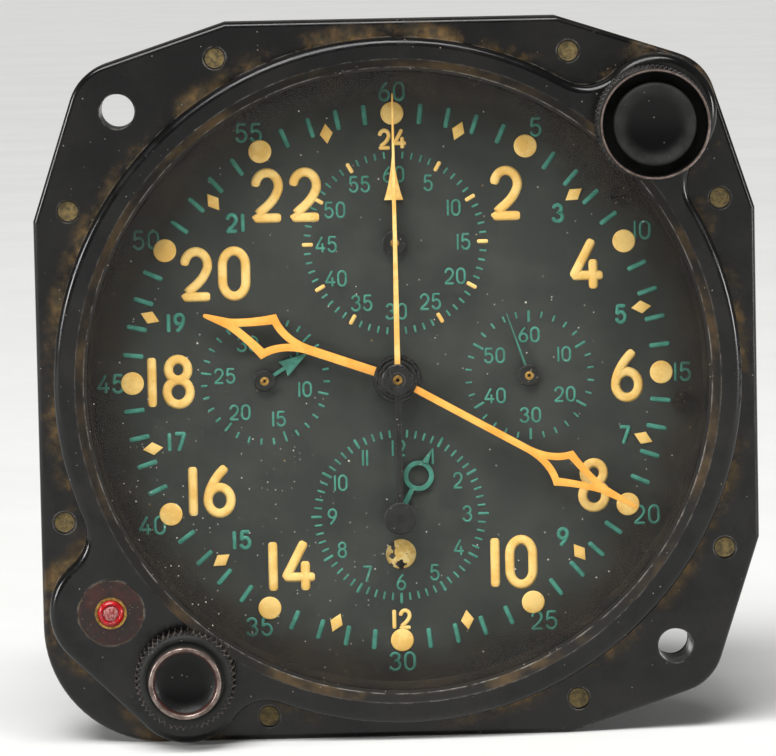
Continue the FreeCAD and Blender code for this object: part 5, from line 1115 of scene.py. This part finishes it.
@dataclass
class CentralHands:
    """Hour, minute and sweep seconds hands on the common axis.

    Args:
        hour_level: rear face of the hour hand in millimetres.
        minute_level: rear face of the minute hand.
        sweep_level: rear face of the sweep hand.
        thick: thickness of the hands.
        hour_long: length of the hour hand.
        minute_long: length of the minute hand.
        sweep_long: length of the sweep hand.
        tail: length of its tail, to the middle of the counterweight.
        weight_radius: radius of the counterweight.
        hour: where the hour hand belongs.
        minute: where the minute hand belongs.
        sweep: where the sweep hand belongs.
    """

    hour_level: float = 6.15
    minute_level: float = 6.95
    sweep_level: float = 7.7
    thick: float = 0.25
    hour_long: float = 23.5
    minute_long: float = 31.3
    sweep_long: float = 32.9
    tail: float = 16.0
    weight_radius: float = 1.83
    hour: Seat = Seat(Rider.HOUR, Slot.HAND_YELLOW, reading=289.4)
    minute: Seat = Seat(Rider.CENTRE, Slot.HAND_YELLOW, reading=119.4)
    sweep: Seat = Seat(Rider.SWEEP, Slot.HAND_YELLOW)

    def lyre(self, shaft: float, root: float, corner: Point, neck: Point, tip: float,
             window: Tuple[float, Point, float], level: float) -> Shape:
        """Hand with an open lozenge near its tip.

        Args:
            shaft: half width of the shaft.
            root: where the shaft begins to flare.
            corner: widest corner of the lozenge.
            neck: where the lozenge runs into the tip.
            tip: length of the hand.
            window: foot, side corner and head of the opening.
            level: height of the rear face.

        Returns:
            The hand's plate.
        """
        right = [(shaft, 0.0), (shaft, root)]
        right += bent((shaft, root), (shaft * 1.3, (root + corner[1]) / 2 + 0.6), corner)
        right += bent(corner, ((corner[0] + neck[0]) / 2 - 0.35, (corner[1] + neck[1]) / 2), neck, 6)
        right += [(0.24, tip - 0.25), (0.12, tip)]
        foot, side, head = window
        opening = [(0.0, foot)] + bent((0.0, foot), (side[0] * 0.35, (foot + side[1]) / 2 + 0.3), side, 6)
        opening += bent(side, (side[0] * 0.45 - 0.05, (side[1] + head) / 2), (0.0, head), 5)
        mirrored = [(-x, y) for x, y in reversed(opening) if x > 1e-6]
        return flat_plate([both_sides(right), opening + mirrored], level, self.thick)

    def build(self) -> None:
        """Build and seat the three hands with their collets."""
        hour = self.lyre(0.52, 11.0, (2.75, 15.6), (0.6, 20.4), self.hour_long,
                         (13.0, (1.5, 15.65), 19.3), self.hour_level)
        minute = self.lyre(0.4, 17.2, (2.3, 21.7), (0.5, 26.9), self.minute_long,
                           (19.5, (1.25, 21.75), 25.8), self.minute_level)
        for name, plate, seat in (("hour_hand", hour, self.hour), ("minute_hand", minute, self.minute)):
            place_piece(name + "_painted", plate, HAND_YELLOW, seat, [name])
        blade = flat_plate([both_sides([(0.33, 1.2), (0.3, 8.0), (0.1, self.sweep_long - 0.2),
                                        (0.04, self.sweep_long)])], self.sweep_level, self.thick, 0.05)
        place_piece("sweep_hand_painted", blade, HAND_CREAM, self.sweep, ["sweep_seconds_hand"])
        self.build_tail()
        self.build_collets()

    def build_tail(self) -> None:
        """Black tail of the sweep hand with its round counterweight."""
        level, high = self.sweep_level, self.sweep_level + self.thick
        bar = flat_plate([[(-0.34, -self.tail), (0.34, -self.tail), (0.34, -1.0), (-0.34, -1.0)]],
                         level, self.thick, 0.06)
        radius = self.weight_radius
        disc = turned([(0.0, level), (radius, level), (radius, high + 0.1), (radius - 0.12, high + 0.2),
                       (0.0, high + 0.2)], 64)
        bmesh.ops.translate(disc, vec=(0, -self.tail, 0), verts=disc.verts)
        place_piece("sweep_tail_and_weight", joined([bar, disc]), HAND_BLACK, self.sweep)

    def build_collets(self) -> None:
        """Stepped black collets, the drilled brass pin, and a black disc of painted shade in its hole."""
        for name, seat, profile in (
                ("hour_hand_collet", self.hour, [(0.0, 5.9), (2.66, 5.9), (2.74, 6.0), (2.74, 6.48),
                                                 (2.64, 6.6), (2.42, 6.6), (2.36, 6.5), (0.0, 6.5)]),
                ("minute_hand_collet", self.minute, [(0.0, 6.7), (2.22, 6.7), (2.3, 6.8), (2.3, 7.26),
                                                     (2.2, 7.38), (1.96, 7.38), (1.9, 7.28), (0.0, 7.28)]),
                ("sweep_hand_collet", self.sweep, [(0.0, 7.45), (1.74, 7.45), (1.82, 7.55), (1.82, 8.02),
                                                   (1.68, 8.14), (0.86, 8.14), (0.8, 8.04), (0.0, 8.04)])):
            place_piece(name, turned(profile), COLLET_BLACK, seat, smooth=28.0)
        pin = turned([(0.0, 7.9), (0.56, 7.9), (0.56, 8.1), (0.48, 8.19), (0.26, 8.19), (0.2, 8.06),
                      (0.0, 8.06)], 40)
        place_piece("sweep_hand_pin", pin, PIN_BRASS, self.sweep)
        # A black disc in the hole is painted shade.
        bore = turned([(0.0, 8.0), (0.22, 8.0), (0.22, 8.1), (0.0, 8.08)], 32)
        place_piece("sweep_hand_pin_bore", bore, BORE_SHADE, self.sweep)


@dataclass
class SmallHands:
    """Hands of the four small dials.

    Args:
        level: rear face of the small hands in millimetres.
        thick: their thickness.
        hour_level: rear face of the elapsed hour hand.
        minute_level: rear face of the elapsed minute hand.
    """

    level: float = 5.25
    thick: float = 0.25
    hour_level: float = 5.15
    minute_level: float = 5.6
    register: Seat = Seat(Rider.REGISTER, Slot.HAND_YELLOW, 0.0, 15.6021, 0.0)
    seconds: Seat = Seat(Rider.SECONDS, Slot.HAND_TEAL, 15.2091, 0.0, 341.0)
    date: Seat = Seat(Rider.DATE, Slot.HAND_TEAL, -15.2877, 0.0, 58.3)
    elapsed_hour: Seat = Seat(Rider.ELAPSED_HOUR, Slot.HAND_TEAL, 0.0, -15.7986, 27.0)
    elapsed_minute: Seat = Seat(Rider.ELAPSED_MINUTE, Slot.HAND_TEAL, 0.0, -15.7986, 1.0)

    def collet(self, name: str, radius: float, low: float, top: float, seat: Seat) -> None:
        """Black collet with a drilled brass pin and a black disc of painted shade in its hole, at a seat."""
        disc = turned([(0.0, low), (radius - 0.06, low), (radius, low + 0.08), (radius, top - 0.1),
                       (radius - 0.12, top), (0.5, top), (0.46, top - 0.05), (0.0, top - 0.05)], 56)
        place_piece(name + "_collet", disc, HAND_BLACK, seat)
        pin = turned([(0.0, top - 0.2), (0.4, top - 0.2), (0.4, top + 0.02), (0.33, top + 0.07),
                      (0.2, top + 0.07), (0.15, top + 0.01), (0.0, top + 0.01)], 32)
        place_piece(name + "_pin", pin, PIN_BRASS, seat)
        # A black disc in the hole is painted shade.
        bore = turned([(0.0, top - 0.1), (0.17, top - 0.1), (0.17, top + 0.03), (0.0, top + 0.02)], 24)
        place_piece(name + "_pin_bore", bore, BORE_SHADE, seat)

    def build(self) -> None:
        """Build and seat the five small hands."""
        thick, level = self.thick, self.level
        arrow = [(0.2, -0.8), (0.2, 4.95), (1.1, 4.95)] + bent((1.1, 4.95), (0.36, 7.0), (0.08, 10.4), 8)
        needle = [(0.15, -1.0), (0.13, 2.0), (0.05, 7.6)]
        dart = [(0.2, 0.0), (0.2, 2.75), (1.0, 2.55), (0.06, 5.75)]
        for name, outline, edge, finish, radius, seat in (
                ("register_hand", arrow, 0.05, HAND_CREAM, 1.42, self.register),
                ("seconds_hand", needle, 0.03, HAND_TEAL, 1.25, self.seconds),
                ("date_hand", dart, 0.04, HAND_TEAL, 1.25, self.date)):
            plate = flat_plate([both_sides(outline)], level, thick, edge)
            place_piece(name + "_painted", plate, finish, seat, [name])
            self.collet(name, radius, level - 0.15, level + 0.45, seat)
        self.build_elapsed()

    def build_elapsed(self) -> None:
        """Ring-shaped hour hand and slim minute hand of the elapsed-time dial."""
        thick, low = self.thick, self.hour_level
        ring = turned([(1.2, low), (1.76, low), (1.76, low + thick - 0.05), (1.7, low + thick),
                       (1.26, low + thick), (1.2, low + thick - 0.05)], 56, closed=True)
        bmesh.ops.translate(ring, vec=(0, 4.95, 0), verts=ring.verts)
        shaft = flat_plate([[(-0.36, 0.0), (0.36, 0.0), (0.26, 3.4), (-0.26, 3.4)]], low, thick, 0.04)
        tip = flat_plate([[(-0.42, 6.5), (0.42, 6.5), (0.05, 8.2), (-0.05, 8.2)]], low, thick, 0.04)
        place_piece("elapsed_hour_hand_painted", joined([ring, shaft, tip]), HAND_TEAL, self.elapsed_hour,
                    ["elapsed_hour_hand"])
        boss = turned([(0.0, 4.95), (1.3, 4.95), (1.3, 5.5), (1.2, 5.58), (0.0, 5.58)], 56)
        place_piece("elapsed_hour_collet", boss, HAND_BLACK, self.elapsed_hour)
        needle = [(0.22, -1.6), (0.2, 3.0), (0.08, 9.4)]
        place_piece("elapsed_minute_hand_painted",
                    flat_plate([both_sides(needle)], self.minute_level, thick, 0.04), HAND_BLACK,
                    self.elapsed_minute, ["elapsed_minute_hand"])
        top = turned([(0.0, 5.62), (0.9, 5.62), (0.9, 6.0), (0.82, 6.08), (0.0, 6.08)], 48)
        place_piece("elapsed_minute_collet", top, HAND_BLACK, self.elapsed_minute)


# Knobs and button

@dataclass
class UpperKnob:
    """Push knob of the chronograph: beaded skirt, worn rim, deep groove and dished centre.

    Args:
        foot: height of its rear edge in millimetres.
        crown: height of its rim.
        rim_radius: radius of the rim.
        beads: beads round the skirt.
    """

    foot: float = 12.9
    crown: float = 19.9
    rim_radius: float = 6.2
    beads: int = 72
    seat: Seat = Seat(Rider.CHRONOGRAPH_KNOB, Slot.KNOB_BLACK, 29.2, 29.2)

    def build(self) -> None:
        """Build the knob with its stem and seat it."""
        foot, crown, rim = self.foot, self.crown, self.rim_radius
        body = turned([
            (0.0, 3.6), (0.5, 3.6), (1.1, 4.2), (1.1, foot + 2.4), (4.4, foot + 2.4), (4.4, foot),
            (6.0, foot), (6.2, foot + 0.4), (6.2, foot + 2.6), (5.9, foot + 2.9), (5.9, foot + 3.2),
            (6.08, foot + 3.5), (rim - 0.06, crown - 0.9), (rim, crown - 0.3), (rim - 0.28, crown - 0.3),
            (rim - 0.3, crown - 1.9), (0.0, crown - 1.9)], 128)
        place_piece("upper_knob_body", body, KNOB_BLACK, self.seat, ["chronograph_knob"])
        radii = [6.3 + 0.28 * abs(math.sin(math.pi * step / 6)) for step in range(self.beads * 6)]
        for row, (low, high) in enumerate(((foot + 0.35, foot + 1.35), (foot + 1.5, foot + 2.5))):
            beads = wavy_disc(radii[3 * row:] + radii[:3 * row], low, high, 0.16)
            place_piece("upper_knob_beads_%d" % row, beads, KNOB_BLACK, self.seat, smooth=50.0)
        rim_ring = turned([
            (rim - 0.27, crown - 0.35), (rim + 0.01, crown - 0.35), (rim + 0.01, crown - 0.12),
            (rim - 0.06, crown), (rim - 0.2, crown), (rim - 0.27, crown - 0.1)], 128, closed=True)
        place_piece("upper_knob_rim", rim_ring, RING_WORN, self.seat)
        # Near-black lining of the groove: painted shade.
        groove = turned([
            (4.5, crown - 1.88), (rim - 0.29, crown - 1.88), (rim - 0.29, crown - 0.34),
            (rim - 0.34, crown - 0.34), (rim - 0.4, crown - 1.7), (4.9, crown - 1.7),
            (4.72, crown - 1.6), (4.5, crown - 1.6)], 128, closed=True)
        place_piece("upper_knob_groove", groove, KNOB_GROOVE_SHADE, self.seat)
        dish = turned([
            (0.0, crown - 1.88), (4.72, crown - 1.88), (4.72, crown - 0.95), (4.62, crown - 0.66),
            (4.4, crown - 0.55), (4.15, crown - 0.58), (3.6, crown - 0.8), (2.4, crown - 1.05),
            (0.0, crown - 1.15)], 112)
        place_piece("upper_knob_dish", dish, UPPER_DISH, self.seat, smooth=60.0)

@dataclass
class LowerKnob:
    """Winding and setting knob: toothed skirt, bright ring and dished centre.

    Args:
        foot: height of its rear edge in millimetres.
        teeth: grip teeth round the skirt.
        radius: radius over the teeth.
        deep: depth of the teeth.
    """

    foot: float = 12.3
    teeth: int = 50
    radius: float = 5.78
    deep: float = 0.45
    seat: Seat = Seat(Rider.WINDING_KNOB, Slot.KNOB_BLACK, -25.0, -33.1)

    def build(self) -> None:
        """Build the knob with its stem and seat it."""
        foot, skirt, crown = self.foot, self.foot + 3.0, self.foot + 5.6
        radii = [self.radius if step % 2 else self.radius - self.deep for step in range(2 * self.teeth)]
        place_piece("lower_knob_teeth", wavy_disc(radii, foot, skirt, 0.08), KNOB_BLACK, self.seat,
                    ["winding_knob"], smooth=20.0)
        body = turned([
            (0.0, 6.4), (1.1, 6.4), (1.1, foot + 0.2), (5.2, foot + 0.2), (5.25, skirt - 0.05),
            (5.05, skirt + 0.18), (4.75, skirt + 0.28), (4.5, skirt + 0.22), (4.42, skirt - 0.3),
            (4.22, skirt - 0.3), (4.14, skirt - 0.2), (4.1, crown - 0.5), (3.5, crown - 0.5),
            (3.44, crown - 0.8), (3.1, crown - 1.05), (2.0, crown - 1.3), (0.0, crown - 1.38)], 112)
        place_piece("lower_knob_body", body, LOWER_DISH, self.seat, smooth=40.0)
        ring = turned([
            (3.58, crown - 0.55), (4.13, crown - 0.9), (4.16, crown - 0.35), (4.08, crown - 0.12),
            (3.9, crown), (3.72, crown - 0.03), (3.6, crown - 0.16)], 112, closed=True)
        place_piece("lower_knob_ring", ring, RING_WORN, self.seat, smooth=60.0)
        line = turned([
            (3.44, crown - 0.7), (3.6, crown - 0.7), (3.6, crown - 0.22), (3.5, crown - 0.24),
            (3.44, crown - 0.4)], 96, closed=True)
        place_piece("lower_knob_tarnish_line", line, RUST_LINE, self.seat)
        square = bmesh.new()
        bmesh.ops.create_cube(square, size=1.0)
        bmesh.ops.scale(square, vec=(1.4, 1.4, 5.6), verts=square.verts)
        bmesh.ops.translate(square, vec=(0, 0, 4.2), verts=square.verts)
        place_piece("lower_knob_square", softened(square, 0.12), ARBOR_STEEL, self.seat)


@dataclass
class DateButton:
    """Red push button of the calendar with its cloudy middle.

    Args:
        top: height of its crown in millimetres.
        radius: radius of the button.
    """

    top: float = 12.4
    radius: float = 1.5
    seat: Seat = Seat(Rider.DATE_BUTTON, Slot.BUTTON_RED, -33.4, -25.7)

    def build(self) -> None:
        """Build the button with its stem and seat it."""
        top, radius = self.top, self.radius
        button = turned([
            (0.0, 3.6), (0.4, 3.6), (0.8, 4.2), (0.8, 9.7), (radius, 9.7), (radius, top - 0.62),
            (radius - 0.05, top - 0.34), (radius - 0.2, top - 0.14), (radius - 0.42, top - 0.08),
            (radius - 0.55, top - 0.18), (radius - 0.58, top - 0.3), (0.0, top - 0.3)], 64)
        place_piece("date_button_red", button, BUTTON_RED, self.seat, ["date_button"], smooth=50.0)
        heart = turned([
            (0.0, top - 0.4), (radius - 0.6, top - 0.4), (radius - 0.6, top - 0.24), (0.66, top - 0.1),
            (0.35, top - 0.02), (0.0, top)], 48)
        place_piece("date_button_cloudy_heart", heart, BUTTON_HEART, self.seat, smooth=60.0)


# Carried-over CAD nodes

@dataclass
class CadDressing:
    """Gives every CAD node that stays in view, or inside the case, its finish.

    Args:
        by_slot: finish for each material slot.
        by_node: finishes of single nodes that differ from their slot's.
    """

    by_slot: Mapping[str, Finish] = field(default_factory=lambda: {
        "phenolic": PHENOLIC, "case_metal": CASE_PAINT, "screw_steel": SCREW_STEEL, "seal": GASKET,
        "crystal": CRYSTAL, "ring_black": SPACER_PAINT, "dial": LACQUER, "brass": WHEEL_BRASS,
        "steel": ARBOR_STEEL, "hand_yellow": HAND_YELLOW, "hand_teal": HAND_TEAL, "status_paint": STATUS,
        "knob_black": KNOB_BLACK, "label": LABEL_PLATE, "button_red": BUTTON_RED})
    by_node: Mapping[str, Finish] = field(default_factory=lambda: {
        "dial_screws": DIAL_SCREW_STEEL, "front_plate": PLATE_BRASS, "rear_plate": PLATE_BRASS,
        "movement_ring": PLATE_BRASS, "plate_pillars": PLATE_BRASS, "pallet_cock": PLATE_BRASS,
        "balance_cock": PLATE_BRASS, "date_button_bush": PIN_BRASS, "stem_bushes": PIN_BRASS,
        "hairspring": SPRING_STEEL, "click_spring": SPRING_STEEL, "mainspring": SPRING_STEEL})

    def build(self) -> None:
        """Assign the finishes."""
        slots = {entry["node"]: entry["material_slot"] for entry in frame["record"]["subparts"]}
        for name, node in frame["nodes"].items():
            finish = self.by_node.get(name, self.by_slot[slots[name]])
            if not node.material_slots:
                node.data.materials.append(finish.material())
            for held in node.material_slots:
                held.material = finish.material()
            LOG.info("%s: %s", name, finish.name)


# Studio and main

@dataclass
class Studio:
    """Camera at the photograph's angle, soft lights and the paper floor.

    Args:
        distance: camera from the dial's axis, in millimetres.
        azimuth: camera to the side, in degrees.
        elevation: camera above, in degrees.
        roll: turn of the camera about its own axis, in degrees.
        focal: focal length in pixels of the photograph.
        centre: where the axis falls from the picture's middle, in pixels right and down.
        floor: height of the floor in metres.
    """

    distance: float = 600.0
    azimuth: float = -1.258
    elevation: float = 5.109
    roll: float = 1.145
    focal: float = 5162.3
    centre: Point = (8.13, -4.0)
    floor: float = -0.0413

    def build(self) -> None:
        """Set up floor, camera and lights."""
        self.add_floor()
        self.add_camera()
        self.add_lights()

    def add_floor(self) -> None:
        """Large sheet of paper, level with the clock's lower edge."""
        sheet = bmesh.new()
        bmesh.ops.create_grid(sheet, x_segments=2, y_segments=2, size=45.0)
        bmesh.ops.translate(sheet, vec=(0, 0, self.floor), verts=sheet.verts)
        mesh = bpy.data.meshes.new("paper_floor")
        sheet.to_mesh(mesh)
        sheet.free()
        paper = bpy.data.objects.new("paper_floor", mesh)
        bpy.context.scene.collection.objects.link(paper)
        mesh.materials.append(PAPER.material())

    def add_camera(self) -> None:
        """Camera that gives the photograph's view."""
        across, up = math.radians(self.azimuth), math.radians(self.elevation)
        back = Vector((math.sin(across) * math.cos(up), -math.cos(across) * math.cos(up), math.sin(up)))
        right = Vector((math.cos(across), math.sin(across), 0.0))
        head = back.cross(right)
        turn = math.radians(self.roll)
        side = right * math.cos(turn) - head * math.sin(turn)
        top = right * math.sin(turn) + head * math.cos(turn)
        lens = bpy.data.cameras.new("photograph_view")
        lens.sensor_width = SENSOR_WIDTH
        lens.lens = self.focal * SENSOR_WIDTH / PHOTO_WIDTH
        lens.shift_x = -self.centre[0] / PHOTO_WIDTH
        lens.shift_y = self.centre[1] / PHOTO_WIDTH
        lens.clip_start, lens.clip_end = 0.01, 100.0
        camera = bpy.data.objects.new("photograph_view", lens)
        camera.matrix_world = Matrix((
            (side.x, top.x, back.x, back.x * self.distance * MM),
            (side.y, top.y, back.y, back.y * self.distance * MM),
            (side.z, top.z, back.z, back.z * self.distance * MM), (0, 0, 0, 1)))
        bpy.context.scene.collection.objects.link(camera)
        bpy.context.scene.camera = camera

    def add_lights(self) -> None:
        """Even daylight, three soft boxes and a broad sun."""
        for name, spot, size, power in (
                ("soft_box_left", (-1.0, -0.42, 0.25), 0.3, 6.0),
                ("soft_box_right", (0.95, -0.45, 0.1), 0.25, 4.0),
                ("soft_box_top", (0.15, -0.45, 0.95), 0.3, 3.0)):
            lamp = bpy.data.lights.new(name, "AREA")
            lamp.shape, lamp.size, lamp.energy = "SQUARE", size, power
            holder = bpy.data.objects.new(name, lamp)
            holder.location = spot
            holder.rotation_euler = (-Vector(spot)).to_track_quat("-Z", "Y").to_euler()
            bpy.context.scene.collection.objects.link(holder)
        lamp = bpy.data.lights.new("broad_sun", "SUN")
        lamp.energy, lamp.angle = 2.75, math.radians(35)
        holder = bpy.data.objects.new("broad_sun", lamp)
        holder.rotation_euler = (Vector((0.25, 0.6, -0.9))).to_track_quat("-Z", "Y").to_euler()
        bpy.context.scene.collection.objects.link(holder)
        world = bpy.data.worlds.new("studio_air")
        world.use_nodes = True
        world.node_tree.nodes.clear()
        air = add_node(world.node_tree, "ShaderNodeBackground",
                       {"Color": (1.0, 1.0, 1.0, 1.0), "Strength": 0.13})
        add_node(world.node_tree, "ShaderNodeOutputWorld", links={"Surface": air.outputs[0]})
        bpy.context.scene.world = world
        bpy.context.scene.view_settings.view_transform = "Standard"


def main() -> None:
    """Build the clock's looks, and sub-assembly by sub-assembly."""
    logging.basicConfig(level=logging.INFO, format="%(message)s")
    for assembly in (CadDressing(), DialPrint(), CentralHands(), SmallHands(), UpperKnob(), LowerKnob(),
                     DateButton(), Studio()):
        LOG.info("-- %s", type(assembly).__name__)
        assembly.build()


if __name__ == "__main__":
    main()
